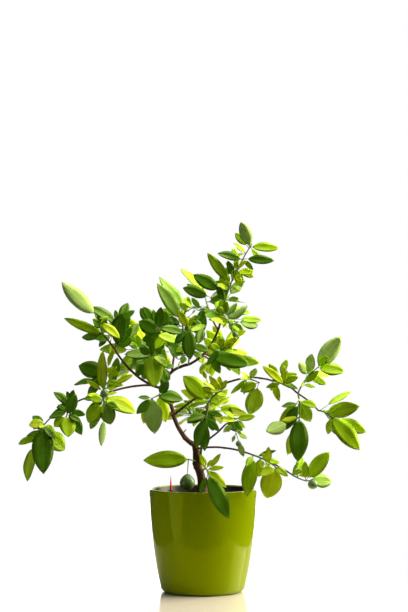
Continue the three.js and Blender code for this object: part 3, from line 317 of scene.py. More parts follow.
def crumbs(count, reach, seed):
    """Small eight-sided lumps: an octahedron's six corners at random stretch and turn, on the soil."""
    draw = np.random.default_rng(seed)
    corners = np.array([[1, 0, 0], [-1, 0, 0], [0, 1, 0], [0, -1, 0], [0, 0, 1], [0, 0, -1]], float)
    faces = np.array([[0, 2, 4], [2, 1, 4], [1, 3, 4], [3, 0, 4], [2, 0, 5], [1, 2, 5], [3, 1, 5], [0, 3, 5]])
    size = draw.uniform(*CRUMB_SIZE, (count, 1, 1)) * draw.uniform(*CRUMB_UNEVEN, (count, 6, 1))
    turn = np.linalg.qr(draw.normal(size=(count, 3, 3)))[0]
    turn *= np.sign(np.linalg.det(turn))[:, None, None]
    radius = reach * np.sqrt(draw.uniform(CRUMB_LEAST_AREA, 1, count))
    angle = draw.uniform(0, 2 * np.pi, count)
    middle = np.stack([radius * np.cos(angle), radius * np.sin(angle), soil_height(radius) + CRUMB_RISE], 1)
    points = (corners * size) @ turn + middle[:, None]
    numbers = faces[None] + 6 * np.arange(count)[:, None, None]
    return points.reshape(-1, 3), [numbers.reshape(-1, 3)]


def soil_height(radius):
    """The heap's height at a distance from the axis: flat in the middle, falling to the edge."""
    fall = np.clip((soil_reach - radius) / (soil_reach - SOIL_FLAT), 0, 1)
    return SOIL_EDGE + (SOIL_MIDDLE - SOIL_EDGE) * fall


earth = soil_finish()
soil_reach = pot_inside(COLLAR_FOOT) - LINER_WALL - LINER_LEDGE - SOIL_ROOM
soil_bottom = LINER_FLOOR + LINER_WALL + GAP
soil_radii = np.linspace(soil_reach, soil_reach / SOIL_RINGS, SOIL_RINGS)
soil_profile = [
    (0, soil_bottom), (LINER_BASKET - LINER_WALL - 2 * GAP, soil_bottom),
    (soil_reach, SOIL_EDGE - SOIL_SKIRT), np.stack([soil_radii, soil_height(soil_radii)], 1),
    (0, SOIL_MIDDLE)]
soil_points, soil_faces = revolved(soil_profile)
loose = soil_points[:, 2] > SOIL_EDGE - SOIL_SKIRT / 2
lumps = sum(high * ruffle(soil_points[loose], long, seed) for high, long, seed in LUMPS)
soil_points[loose, 2] += lumps - SOIL_SETTLED
heap = Pile()
heap.add(soil_points, soil_faces)
heap.add(*crumbs(CRUMBS, soil_reach - CRUMB_EDGE, 13))
top_soil = heap.put("potting_mix", [earth])
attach(top_soil, "root")
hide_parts("soil")


# The water-level indicator is a dark plastic tube sunk in the soil, with a float's red cone that rises
# out of its collar.
INDICATOR = (-66, 45)
TUBE_RADIUS = 5
TUBE_FOOT = 130
TUBE_TOP = 200
TUBE_COLLAR = (0.6, 5, 0.4)
TUBE_EDGE = 0.8
TUBE_SOCKET = (0.5, 0.4, 3)
GAUGE_SIDES = 32
PIN_RADIUS = 2.5
PIN_BEVEL = 0.4
PIN_WAIST = (0.7, 14)
PIN_END = 0.3
PIN_TIP = 230


def standing(profile, place):
    """A turned shape set upright at a place beside the axis."""
    points, faces = revolved(profile, GAUGE_SIDES)
    return points + [*place, 0], faces


red = gloss_plastic("red_plastic", (0.95, 0.02, 0.015), (1.0, 0.03, 0.02), 0.22)
step_in, step_down, bevel = TUBE_COLLAR
room_above, room_below, socket = TUBE_SOCKET
tube_profile = [
    (0, TUBE_FOOT), (TUBE_RADIUS - step_in, TUBE_FOOT), (TUBE_RADIUS - step_in, TUBE_TOP - step_down),
    (TUBE_RADIUS, TUBE_TOP - step_down + bevel),
    arc((TUBE_RADIUS - TUBE_EDGE, TUBE_TOP - TUBE_EDGE), TUBE_EDGE, 0, 90, 5),
    (PIN_RADIUS + room_above, TUBE_TOP), (PIN_RADIUS + room_below, TUBE_TOP - socket),
    (0, TUBE_TOP - socket)]
gauge_tube = put_mesh("gauge_tube", [aubergine], *standing(tube_profile, INDICATOR))
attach(gauge_tube, "root")
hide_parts("indicator_tube")

pin_foot = TUBE_TOP - socket + PIN_BEVEL
waist, waist_height = PIN_WAIST
pin_line = [(PIN_RADIUS, pin_foot + PIN_BEVEL), (PIN_RADIUS * waist, pin_foot + waist_height),
            (PIN_END, PIN_TIP - PIN_END)]
pin_wall = bezier(pin_line, np.linspace(0, 1, 16))
pin_profile = [(0, pin_foot), (PIN_RADIUS - PIN_BEVEL, pin_foot), pin_wall, (0, PIN_TIP)]
gauge_pin = put_mesh("gauge_pin", [red], *standing(pin_profile, INDICATOR))
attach(gauge_pin, "root")
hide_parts("indicator_pin")


# The trunk and its boughs have thin brown-red young bark, ribbed lengthwise and knotted where leaves have
# been. Each limb grows out of its parent, and the green stem beside the trunk is a young one.
TRUNK_LINE = np.array([(-1, 0, SOIL_MIDDLE + GAP), (-3, 0, 227), (-12, 1, 258), (-14, 1, 284), (-17, 0, 297)])
TRUNK_FLARE = 9.5
TRUNK_FOOT = 9.2
TRUNK_FORK = 6.4
TRUNK_SUNK = 0.5
FLARE_HEIGHT = 9
FLARE_LOBES = 5
FLARE_LOBE_DEPTH = 0.22
FLARE_INSET = 0.94
TRUNK_STEPS, TRUNK_SIDES = 110, 40
STEM_STEPS = 80
LIMB_SIDES = 18
LIMB_STEP = 2.2
LIMB_WANDER = (0.35, 26)
RIB_COUNTS = (3, 5, 8)
RIB_DEPTH = 0.09
RIB_WANDER = 0.8
KNOT_RISE = 0.22
KNOT_LONG = 2.2
BARK_INSET = 0.96
STEM_INSET = 0.95
MAP_SCALE = 0.02

# Short broken stubs: the limb that each stands on, the share of the way along that, and its reach.
STUBS = [("main_bough", 0.3, (-8, -9, 7)), ("main_bough", 0.55, (8, -6, 10)), ("trunk", 0.86, (-9, -7, 6)),
         ("elbow", 0.35, (-8, -6, 7)), ("elbow", 0.7, (9, -7, 4)), ("upper_bough", 0.3, (-5, -8, 8))]
STUB_RADII = [1.5, 1.35, 1.25, 1.2, 1.1, 1.05, 1.0, 0.6]

# Each bough: the limb it grows from, the share of the way along that, its end, how far it bows off the
# straight line at its middle, and its radius at both ends.
BOUGHS = {
    "main_bough": ("trunk", 0.95, (-59, 5, 351), (-2, 0, -9), (5.4, 4.3)),
    "elbow": ("main_bough", 1, (-81, 12, 408), (3, 0, 1), (4.3, 3.6)),
    "upper_bough": ("elbow", 1, (-30, 5, 457), (-10, 0, 8), (3.4, 3)),
    "leader": ("upper_bough", 1, (39, 2, 558), (9, 0, -14), (2.8, 2.2)),
    "leader_spur": ("leader", 0.35, (14, -30, 474), (0, 0, 0), (1.9, 1.7)),
    "upright": ("upper_bough", 0.55, (-41, 62, 528), (-4, 0, 4), (2.3, 1.9)),
    "left_bough": ("elbow", 1, (-176, -20, 485), (-4, 0, -13), (3, 2.2)),
    "left_shoot": ("left_bough", 1, (-198, -38, 515), (2, 0, -1), (2.1, 1.9)),
    "left_droop": ("left_bough", 0.2, (-203, -62, 396), (0, 0, 6), (2.4, 2)),
    "left_outer": ("left_droop", 1, (-258, -80, 380), (0, 0, 4), (1.9, 1.7)),
    "right_arch": ("elbow", 0.05, (74, -42, 429), (-2, 0, 10), (2.5, 2.1)),
    "right_arch_middle": ("right_arch", 1, (136, -58, 426), (0, 0, 4), (2, 1.9)),
    "right_arch_outer": ("right_arch_middle", 1, (189, -62, 400), (2, 0, 5), (1.9, 1.8)),
    "right_end": ("right_arch_outer", 1, (228, -80, 367), (1, 0, 2), (1.8, 1.6)),
    "green_stem": ("trunk", 0.35, (10, -52, 379), (-3, 6, 4), (3, 2)),
    "right_inner": ("trunk", 0.9, (44, -75, 339), (2, 0, -4), (2.2, 1.8)),
    "whip": ("trunk", 0.8, (98, -52, 278), (0, 0, 8), (2.2, 1.8)),
    "whip_outer": ("whip", 1, (173, -72, 242), (0, 0, 3), (1.8, 1.6)),
    "front_bough": ("elbow", 0.1, (-85, -95, 399), (-4, 0, -8), (2.4, 1.9)),
    "back_left": ("upper_bough", 0.4, (-100, 92, 462), (0, 0, -8), (2.8, 2)),
    "back_right": ("leader", 0.25, (20, 96, 456), (0, 0, 8), (2.4, 2)),
    "back_low": ("main_bough", 0.1, (-4, 98, 338), (4, 0, -8), (2.8, 2)),
    "back_top": ("leader", 0.8, (14, 62, 566), (0, 0, -5), (2, 1.7)),
}


def unit(vector):
    """A vector's way, one long."""
    return vector / np.linalg.norm(vector, axis=-1, keepdims=True)


def tapered(ends, share):
    """A limb's radius along it, which goes evenly from the one end's to the other's."""
    return ends[0] + (ends[1] - ends[0]) * share


def bowed(start, end, bow):
    """The three points of a quadratic curve that stands off its straight line by bow at the middle."""
    start, end = np.asarray(start, float), np.asarray(end, float)
    return np.array([start, (start + end) / 2 + 2 * np.asarray(bow, float), end])


def trunk_at(share):
    """The trunk's middle line: a centripetal Catmull-Rom spline through its points, whose two end
    stretches go on straight. Each stretch is the cubic that its slopes at both ends give."""
    before, beyond = 2 * TRUNK_LINE[0] - TRUNK_LINE[1], 2 * TRUNK_LINE[-1] - TRUNK_LINE[-2]
    line = np.concatenate([[before], TRUNK_LINE, [beyond]])
    place = np.asarray(share, float) * (len(TRUNK_LINE) - 1)
    stretch = np.minimum(place.astype(int), len(TRUNK_LINE) - 2)
    w = (place - stretch)[..., None]
    a, b, c, d = (line[stretch + step] for step in range(4))
    ab, bc, cd = (np.sqrt(np.linalg.norm(q - p, axis=-1, keepdims=True)) for p, q in ((a, b), (b, c), (c, d)))
    slope_b = bc * ((b - a) / ab - (c - a) / (ab + bc) + (c - b) / bc)
    slope_c = bc * ((c - b) / bc - (d - b) / (bc + cd) + (d - c) / cd)
    bend = 3 * (c - b) - 2 * slope_b - slope_c
    twist = 2 * (b - c) + slope_b + slope_c
    return b + slope_b * w + bend * w ** 2 + twist * w ** 3


limb_lines = {"trunk": trunk_at}


def line_of(curve):
    return lambda share: bezier(curve, share)


for limb, (parent, at, end, bow, _) in BOUGHS.items():
    limb_lines[limb] = line_of(bowed(limb_lines[parent](at), end, bow))


def tube(middles, radii, sides):
    """A round section carried along a path: middle + r (cos a N + sin a B), where N and B stand square to
    the path, closed by a pole at each end. radii is one number a station, or one a station and side. Gives
    the points, the faces and each point's spot on the limb's own map: round it, and along it."""
    tangent = unit(np.gradient(middles, axis=0))
    aside = np.eye(3)[np.argmin(np.abs(tangent).mean(0))]
    normal = unit(np.cross(tangent, aside))
    across = np.cross(tangent, normal)
    angle = np.arange(sides) * 2 * np.pi / sides
    radii = np.asarray(radii, float)
    if radii.ndim == 1:
        radii = np.repeat(radii[:, None], sides, 1)
    ring = np.cos(angle)[None, :, None] * normal[:, None] + np.sin(angle)[None, :, None] * across[:, None]
    rings = middles[:, None] + radii[..., None] * ring
    points = np.concatenate([rings.reshape(-1, 3), middles[:1], middles[-1:]])
    up_map = MAP_SCALE * np.concatenate([[0], np.cumsum(np.linalg.norm(np.diff(middles, axis=0), axis=1))])
    round_map = np.abs(np.linspace(-1, 1, sides, endpoint=False))
    places = np.stack(np.broadcast_arrays(round_map[None], up_map[:, None]), 2).reshape(-1, 2)
    places = np.concatenate([places, [[0.5, 0], [0.5, up_map[-1]]]])
    return points, ring_faces(len(middles), sides), places


def ribs(count, sides, radii, seed):
    """Bark relief as a share of the radius: lengthwise ribs that wander, and low knots."""
    draw = np.random.default_rng(seed)
    angle = np.arange(sides)[None] * 2 * np.pi / sides
    along = np.linspace(0, 1, count)[:, None]
    wander = RIB_WANDER * np.sin(2 * np.pi * (1.5 * along + draw.uniform()))
    relief = sum(np.sin(k * (angle + wander / k) + draw.uniform(0, 6)) / k for k in RIB_COUNTS)
    knots = np.zeros_like(relief)
    for centre in draw.uniform(0.05, 0.95, max(2, count // 12)):
        turn = draw.uniform(0, 2 * np.pi)
        bump = np.exp(-((along - centre) * count / KNOT_LONG) ** 2)
        knots += bump * np.clip(np.cos(angle - turn), 0, 1) ** 3
    return radii[:, None] * (1 + RIB_DEPTH * relief + KNOT_RISE * knots)


def bark_finish(name, dark, light, crack):
    """Bark: colour runs in streaks along the limb, with dark cracks and a fine ribbed bump."""
    finish = Finish(name, {"Specular IOR Level": 0.35})
    place = finish.object_place()
    own = finish.add("ShaderNodeTexCoord", output="UV")
    stretched = finish.add("ShaderNodeMapping", {}, {"Vector": own, "Scale": (9.0, 14.0, 1.0)})
    streak = finish.noise(stretched, 2.2, 5.0)
    cracks = finish.ramp(finish.noise(stretched, 5.0, 6.0), 0.56, 0.64)
    blotch = finish.noise(place, 60.0, 3.0)
    body = finish.blend(finish.ramp(streak * 0.6 + blotch * 0.4, 0.3, 0.7), (*dark, 1), (*light, 1))
    finish.fill(finish.shader, {
        "Base Color": finish.blend(cracks, body, (*crack, 1)),
        "Roughness": blotch * 0.2 + 0.6,
        "Normal": finish.bump(streak - cracks * 0.7, 0.5, 0.0012)})
    return finish


brown_bark = bark_finish("brown_bark", (0.05, 0.012, 0.005), (0.13, 0.045, 0.018), (0.02, 0.006, 0.003))
green_bark = bark_finish("green_bark", (0.09, 0.13, 0.03), (0.2, 0.25, 0.07), (0.09, 0.06, 0.025))

share = np.linspace(0, 1, TRUNK_STEPS)
trunk_line = trunk_at(share)
risen = trunk_line[:, 2] - trunk_line[0, 2]
angle = np.arange(TRUNK_SIDES) * 2 * np.pi / TRUNK_SIDES
lobes = 1 + FLARE_LOBE_DEPTH * np.cos(FLARE_LOBES * angle)
flare = TRUNK_FLARE * np.exp(-risen / FLARE_HEIGHT)
trunk_radii = ribs(TRUNK_STEPS, TRUNK_SIDES, tapered((TRUNK_FOOT, TRUNK_FORK), share), 3)
trunk_radii += flare[:, None] * lobes * FLARE_INSET
points, faces, places = tube(trunk_line, trunk_radii, TRUNK_SIDES)
points[:, 2] = np.maximum(points[:, 2], SOIL_MIDDLE - TRUNK_SUNK)
trunk_piece = put_mesh("bark_trunk", [brown_bark], points, faces, places)
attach(trunk_piece, "root")
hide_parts("trunk")

wood = Pile()
for number, (limb, (_, _, _, _, ends)) in enumerate(BOUGHS.items()):
    if limb != "green_stem":
        rough = limb_lines[limb](np.linspace(0, 1, 200))
        steps = 12 + int(np.linalg.norm(np.diff(rough, axis=0), axis=1).sum() / LIMB_STEP)
        share = np.linspace(0, 1, steps)
        line = limb_lines[limb](share)
        off, long = LIMB_WANDER
        middles = line + off * np.stack([ruffle(line, long, 50 + number + way) for way in range(3)], 1)
        radii = ribs(steps, LIMB_SIDES, tapered(ends, share) * BARK_INSET, 20 + number)
        wood.add(*tube(middles, radii, LIMB_SIDES))
for limb, at, reach in STUBS:
    middles = limb_lines[limb](at) + np.outer(np.linspace(0, 1, len(STUB_RADII)), reach)
    wood.add(*tube(middles, STUB_RADII, 10))
bough_piece = wood.put("bark_boughs", [brown_bark])
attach(bough_piece, "root")
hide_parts(*[limb for limb in BOUGHS if limb != "green_stem"])

share = np.linspace(0, 1, STEM_STEPS)
radii = ribs(STEM_STEPS, LIMB_SIDES, tapered(BOUGHS["green_stem"][4], share) * STEM_INSET, 44)
stem_tube = tube(limb_lines["green_stem"](share), radii, LIMB_SIDES)
young_stem = put_mesh("green_young_stem", [green_bark], *stem_tube)
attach(young_stem, "root")
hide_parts("green_stem")


# Green twigs branch from each bough's tip by a seeded rule. Every mass of foliage has one stem with
# shoots on it, and its leaves stand in two ranks along each shoot, with one at the tip.
STEM_RADIUS = (2, 1.8)
STEM_SUNK_END = 0.96
SHOOT_RADIUS = (1.25, 1.15)
SHOOT_SAG = 0.12
FRUIT_SUNK = 0.42

# A leaf: its width, fold, keel and curl as shares of its size, where it is at full width, its stalk, and
# where its outline is tested.
LEAF_WIDTH = 0.46
LEAF_BROAD = (0.28, 0.6)
LEAF_FOLD = 0.14
LEAF_KEEL = 0.014
LEAF_CURL = (0.04, 0.18)
LEAF_STALK = 5
LEAF_STATIONS = ((0.25, 0.88), (0.62, 0.94))

# Where the leaves stand along a shoot, and how far they spread, lift, droop and vary.
STAND_FIRST, STAND_LAST, STAND_TIP = 0.15, 0.85, 0.98
SPREAD = 54
SPREAD_PLAY = 30
LIFT, LIFT_LESS = 0.9, 0.4
NORMAL_PLAY = 0.8
DROOP = 0.25
SIZE = (0.8, 1.04)

# What each further try changes of a shoot and of a leaf.
TRIES = 12
SHOOT_SHORTER = 0.1
SHOOT_LEAN = 14
TRY_TURN = 31
TRY_SHRINK = 0.025
TRY_INWARDS = 0.06
TRY_STRAY = 0.12

# Where upper faces turn, the room that is kept, and the steps between seeds.
LIGHT_UP = 0.55
LIGHT_DIVIDE = 115
LIGHT_BLEND = 60
CLEARANCE = 1
POT_ROOM = 2
ROOT_ROOM = 7
LEAST_REACH = 46
BEAD_STEP = 3
MASS_SEEDS, SHOOT_SEEDS, LEAF_SEEDS, TRY_SEEDS = 1000, 97, 31, 7
UP = np.array([0.0, 0.0, 1.0])


def sprig(at, aim, out, long, leaf, tone, **more):
    """One shoot of a mass: the share of the way along the stem where it starts, its angle from +X towards
    +Z, its lean towards -Y, its length, its leaves' length and their finish. A lone leaf's length of shoot
    is its stalk. It may have more: wide, turn=-1 to show the undersides, leaves and fruit."""
    return dict(at=at, aim=aim, out=out, long=long, leaf=leaf, tone=tone, **more)


def foliage(limb, to, bow, seed, shoots, **more):
    """One mass: the limb it grows from, its stem's end and bow, its seed and its shoots. It may have more:
    at, where it starts on the limb, if that isn't its tip, and a middle and a reach of its cell."""
    return dict(limb=limb, to=to, bow=bow, seed=seed, shoots=shoots, **more)


# Each shoot's tone also paints light: the shaded masses on the left are mostly dark as painted shade, and the
# mid and lime ones are lighter as painted glow where light shines through the leaves.
MASSES = {
    "crown_top": foliage("leader", (100, 15, 703), (-10, 0, -2), 3, [
        sprig(0.18, 165, 8, 38, 54, "dark"), sprig(0.3, 147, 15, 22, 60, "dark"),
        sprig(0.36, 150, 30, 4, 26, "lime"), sprig(0.4, 105, -20, 6, 30, "mid"),
        sprig(0.42, 22, 10, 4, 30, "lime", wide=0.34), sprig(0.45, 128, 0, 8, 72, "mid", wide=0.3),
        sprig(0.48, 92, 20, 2, 26, "lime", wide=0.36), sprig(0.55, 80, -10, 3, 36, "dark"),
        sprig(0.6, 8, 20, 5, 34, "lime", wide=0.6), sprig(0.64, 50, 30, 4, 36, "lime", wide=0.54),
        sprig(0.66, -25, -10, 6, 32, "mid"), sprig(0.79, 165, 10, 5, 48, "dark", wide=0.42),
        sprig(0.8, -6, 15, 10, 55, "dark", wide=0.36), sprig(0.87, 140, 30, 3, 34, "lime", wide=0.34),
        sprig(0.94, 130, -15, 10, 36, "mid"), sprig(0.96, 106, 5, 3, 52, "pale", wide=0.5, turn=-1),
        sprig(0.97, 1, 0, 4, 56, "mid", wide=0.38), sprig(0.2, 60, -35, 22, 46, "dark", leaves=3),
        sprig(0.7, 200, -40, 20, 42, "mid", leaves=3)], middle=(50, 8, 632)),
    "upper_right": foliage("leader", (62, -40, 512), (4, 0, 4), 5, [
        sprig(0.03, 170, 12, 12, 50, "dark", wide=0.6), sprig(0.08, 85, 25, 4, 30, "mid"),
        sprig(0.1, 54, 12, 3, 38, "pale", turn=-1), sprig(0.16, 20, 25, 4, 52, "pale", wide=0.52, turn=-1),
        sprig(0.24, -2, 5, 30, 42, "mid"), sprig(0.35, 174, 25, 20, 24, "lime", wide=0.3),
        sprig(0.5, 172, 5, 22, 46, "mid"), sprig(0.55, -32, 25, 3, 22, "mid"),
        sprig(0.96, 8, 12, 2, 46, "lime", wide=0.52), sprig(0.85, 30, 50, 8, 0, "mid", leaves=0, fruit=13),
        sprig(0.4, 10, -35, 24, 50, "dark", leaves=3)]),
    "spur_leaves": foliage("leader_spur", (38, -56, 486), (0, 0, 3), 12, [
        sprig(0.08, -12, 12, 3, 76, "dark", wide=0.48), sprig(0.4, 84, 20, 4, 34, "mid", wide=0.5),
        sprig(0.7, 130, 25, 4, 38, "mid"), sprig(0.95, 40, 10, 4, 36, "lime"),
        sprig(0.9, 200, 35, 4, 40, "dark"),
        sprig(0.97, -7, 15, 6, 42, "lime", wide=0.3)], middle=(48, -48, 470)),
    "upper_left": foliage("upright", (-36, 72, 568), (-3, 0, 0), 9, [
        sprig(0.4, 119, 10, 10, 86, "pale", wide=0.34), sprig(0.97, 124, 0, 3, 88, "pale", wide=0.3),
        sprig(0.2, 180, -15, 26, 54, "dark", leaves=3), sprig(0.6, 6, -5, 28, 56, "dark", leaves=4),
        sprig(0.9, 35, 10, 22, 54, "mid", leaves=3),
        sprig(0.7, 150, -50, 24, 50, "mid", leaves=3)], middle=(-56, 86, 558)),
    "front_upper": foliage("upper_bough", (-30, -58, 534), (2, -4, -12), 21, [
        sprig(0.97, 118, 12, 4, 38, "lime"), sprig(0.62, 163, 12, 24, 44, "mid", wide=0.64),
        sprig(0.66, -58, 15, 8, 46, "dark", wide=0.4), sprig(0.86, 162, 20, 14, 44, "dark", wide=0.5),
        sprig(0.97, 281, 16, 3, 66, "dark", wide=0.48), sprig(0.9, 40, 0, 6, 44, "mid"),
        sprig(0.45, 205, 5, 24, 56, "dark", leaves=3),
        sprig(0.5, 40, -10, 24, 50, "dark", leaves=3)], middle=(-36, -30, 502)),
    "left_tip": foliage("left_shoot", (-216, -46, 560), (-2, 0, 0), 4, [
        sprig(0.06, 155, 8, 4, 82, "mid", wide=0.24), sprig(0.7, -34, 20, 12, 50, "lime", wide=0.42),
        sprig(0.97, 138, 0, 3, 90, "pale", wide=0.38, turn=-1), sprig(0.5, 40, 30, 4, 34, "mid"),
        sprig(0.3, 110, 35, 5, 36, "dark")]),
    "left_upper": foliage("left_bough", (-178, 12, 546), (0, 0, -2), 7, [
        sprig(0.15, 80, 22, 6, 68, "dark", wide=0.6), sprig(0.97, 148, 0, 4, 60, "dark", wide=0.44),
        sprig(0.9, 40, 5, 5, 44, "dark"), sprig(0.1, 22, 8, 14, 46, "dark", wide=0.38),
        sprig(0.35, 15, -5, 24, 52, "dark", leaves=3), sprig(0.5, 165, -25, 24, 52, "dark", leaves=4),
        sprig(0.8, 60, -40, 22, 50, "dark", leaves=3)]),
    "inner_left": foliage("upright", (-98, 34, 523), (0, 0, 5), 6, [
        sprig(0.95, 150, 10, 2, 40, "dark", wide=0.8), sprig(0.96, 198, 18, 10, 58, "dark", wide=0.34),
        sprig(0.5, 230, 20, 12, 44, "mid"), sprig(0.4, 130, 10, 4, 46, "dark"),
        sprig(0.6, 95, 15, 3, 40, "dark"), sprig(0.45, 235, -20, 26, 56, "dark", leaves=4),
        sprig(0.85, 120, -30, 24, 54, "dark", leaves=3)]),
    "left_centre": foliage("left_droop", (-196, -44, 440), (4, 4, 0), 14, [
        sprig(0.3, 24, 10, 26, 40, "lime", wide=0.34), sprig(0.32, 62, 15, 20, 32, "lime", wide=0.34),
        sprig(0.9, 12, -15, 8, 54, "dark", wide=0.55), sprig(0.2, 96, 18, 3, 80, "lime", wide=0.28),
        sprig(0.12, 176, -8, 12, 44, "dark", wide=0.46), sprig(0.97, 160, 5, 8, 48, "dark", wide=0.72),
        sprig(0.95, 74, 12, 18, 36, "lime", wide=0.46), sprig(0.85, 18, 25, 4, 28, "lime"),
        sprig(0.6, 0, 20, 4, 34, "mid"), sprig(0.5, 30, -20, 24, 50, "dark", leaves=3),
        sprig(0.7, 175, -20, 20, 48, "dark", leaves=3)], middle=(-182, -44, 430)),
    "left_hub": foliage("left_droop", (-192, -98, 378), (0, 0, 5), 15, [
        sprig(0.55, -17, 10, 4, 66, "lime", wide=0.6), sprig(0.25, -8, 26, 3, 56, "lime", wide=0.24),
        sprig(0.7, 230, 12, 12, 42, "mid", wide=0.8), sprig(0.85, 275, 0, 2, 54, "dark", wide=0.62),
        sprig(0.96, 264, 15, 33, 52, "pale", wide=0.28, turn=-1), sprig(0.15, 186, 22, 4, 34, "dark"),
        sprig(0.35, 75, 15, 16, 0, "mid", leaves=0, fruit=17), sprig(0.45, 165, 30, 6, 28, "lime"),
        sprig(0.8, -50, 15, 6, 36, "mid"),
        sprig(0.5, 245, -20, 22, 44, "dark", leaves=2)], middle=(-182, -88, 378), reach=52),
    "left_outer_leaves": foliage("left_outer", (-268, -112, 356), (0, 0, 5), 10, [
        sprig(0.9, 32, 5, 2, 46, "dark", wide=0.56), sprig(0.1, 48, 22, 3, 42, "dark"),
        sprig(0.96, 270, 10, 3, 46, "mid", wide=0.8), sprig(0.3, 140, 20, 4, 40, "dark"),
        sprig(0.8, 190, 15, 4, 34, "dark"), sprig(0.7, -62, 0, 5, 50, "dark"),
        sprig(0.45, 212, 0, 4, 44, "dark")], middle=(-278, -100, 358)),
    "left_end": foliage("left_outer", (-330, -88, 314), (-6, 0, 7), 17, [
        sprig(0.68, 182, 15, 2, 30, "lime", wide=0.9), sprig(0.74, 269, 32, 6, 96, "dark", wide=0.46),
        sprig(0.97, 256, 0, 25, 68, "mid", wide=0.42), sprig(0.82, -40, -14, 16, 50, "mid", wide=0.8),
        sprig(0.7, 215, -30, 14, 46, "dark", leaves=3)], middle=(-306, -84, 306)),
    "bright_front": foliage("front_bough", (-100, -114, 392), (0, 0, 0), 18, [
        sprig(0.92, 270, 8, 2, 68, "pale", wide=0.56), sprig(0.15, -70, 12, 3, 52, "lime", wide=0.54),
        sprig(0.97, 250, -10, 4, 52, "lime", wide=0.46), sprig(0.2, 5, 14, 2, 50, "dark", wide=0.62),
        sprig(0.95, 226, 10, 6, 38, "dark")], middle=(-80, -112, 372)),
    "centre_left": foliage("elbow", (-104, -22, 480), (3, 4, 0), 19, [
        sprig(0.96, 181, 8, 3, 52, "dark", wide=0.56), sprig(0.97, 276, 26, 3, 68, "mid", wide=0.6),
        sprig(0.93, 60, 10, 3, 46, "dark"), sprig(0.6, 10, 15, 22, 52, "dark", leaves=3),
        sprig(0.7, 160, -30, 26, 54, "dark", leaves=4)], middle=(-108, -14, 464)),
    "centre_lime": foliage("green_stem", (38, -80, 406), (-2, 0, 4), 22, [
        sprig(0.1, 131, 18, 10, 64, "mid", wide=0.6), sprig(0.15, 196, 10, 2, 42, "mid", wide=0.26),
        sprig(0.4, 107, 15, 40, 18, "lime", leaves=5), sprig(0.5, 160, 20, 3, 30, "lime"),
        sprig(0.6, -15, 25, 3, 28, "lime"), sprig(0.7, 80, 25, 3, 34, "lime"),
        sprig(0.9, 60, 15, 3, 24, "lime"), sprig(0.97, 107, 10, 2, 46, "lime", wide=0.32),
        sprig(0.75, 135, 25, 3, 34, "lime")], middle=(6, -80, 414)),
    "centre_low": foliage("green_stem", (6, -92, 352), (2, 0, 5), 23, [
        sprig(0.96, 246, 8, 2, 62, "dark", wide=0.46), sprig(0.97, 270, 12, 12, 56, "dark", wide=0.42),
        sprig(0.5, -78, 4, 4, 42, "dark", wide=0.48), sprig(0.7, -4, 16, 3, 32, "dark", wide=0.46),
        sprig(0.35, 165, 20, 8, 36, "mid"), sprig(0.85, 190, 20, 3, 40, "dark")], middle=(2, -86, 332)),
    "right_inner_leaves": foliage("right_inner", (66, -98, 352), (0, 0, 0), 24, [
        sprig(0.95, 105, 12, 6, 36, "lime", wide=0.8), sprig(0.12, -6, 15, 2, 36, "dark", wide=0.6),
        sprig(0.5, 52, 5, 2, 36, "dark", wide=0.34), sprig(0.6, -70, 5, 38, 28, "pale", leaves=3, fruit=12),
        sprig(0.95, 8, 5, 3, 36, "mid"), sprig(0.97, 75, 10, 3, 34, "mid")], middle=(66, -90, 318)),
    "arch_inner": foliage("right_arch", (112, -84, 422), (0, 0, 3), 25, [
        sprig(0.97, 257, 4, 12, 66, "mid", wide=0.6), sprig(0.3, 66, 10, 2, 42, "pale", wide=0.5, turn=-1),
        sprig(0.55, 28, 15, 2, 36, "pale", wide=0.5, turn=-1), sprig(0.35, 207, 10, 2, 46, "mid", wide=0.26),
        sprig(0.25, 265, 15, 6, 34, "mid", wide=0.54),
        sprig(0.6, 120, 10, 3, 34, "lime")], middle=(96, -70, 406)),
    "arch_middle": foliage("right_arch_middle", (162, -92, 418), (0, 0, 3), 26, [
        sprig(0.96, 150, 5, 3, 56, "lime", wide=0.34), sprig(0.8, 146, -18, 4, 52, "mid", wide=0.34),
        sprig(0.12, -72, 12, 4, 40, "lime", wide=0.36), sprig(0.3, -38, 22, 3, 52, "dark", wide=0.34),
        sprig(0.5, 60, -25, 12, 38, "mid", leaves=3),
        sprig(0.7, 20, 20, 3, 34, "mid")], middle=(150, -76, 424)),
    "right_top": foliage("right_arch_outer", (232, -38, 453), (-4, 0, 3), 27, [
        sprig(0.97, 52, 0, 3, 75, "pale", wide=0.48, turn=-1), sprig(0.96, -3, 12, 4, 50, "mid", wide=0.6),
        sprig(0.45, 138, 5, 17, 66, "pale", wide=0.42, turn=-1),
        sprig(0.65, 135, 25, 4, 36, "pale", wide=0.54, turn=-1), sprig(0.3, 44, 30, 8, 40, "mid", wide=0.4),
        sprig(0.42, 175, 15, 4, 30, "lime", wide=0.42), sprig(0.6, 20, -35, 14, 40, "mid", leaves=3)]),
    "right_end_leaves": foliage("right_end", (256, -94, 353), (0, 0, 3), 28, [
        sprig(0.1, 30, -15, 22, 60, "mid", wide=0.24), sprig(0.6, -1, 30, 4, 72, "mid", wide=0.48),
        sprig(0.92, -51, 10, 3, 82, "mid", wide=0.46), sprig(0.97, -21, -10, 14, 62, "mid", wide=0.44),
        sprig(0.4, -50, -25, 14, 44, "dark", leaves=3)], middle=(252, -84, 354)),
    "right_hanging": foliage("right_arch_outer", (190, -92, 352), (2, 0, 2), 29, [
        sprig(0.97, 270, 6, 4, 84, "dark", wide=0.46), sprig(0.35, -50, 34, 2, 60, "mid", wide=0.56),
        sprig(0.95, 252, -12, 26, 54, "mid", wide=0.5, turn=-1),
        sprig(0.25, 10, 5, 12, 38, "lime", wide=0.66),
        sprig(0.97, 204, 10, 30, 44, "pale", wide=0.7, turn=-1),
        sprig(0.3, 226, 5, 10, 54, "lime", wide=0.34),
        sprig(0.45, 238, 14, 6, 54, "dark", wide=0.4)], middle=(188, -88, 332), reach=66),
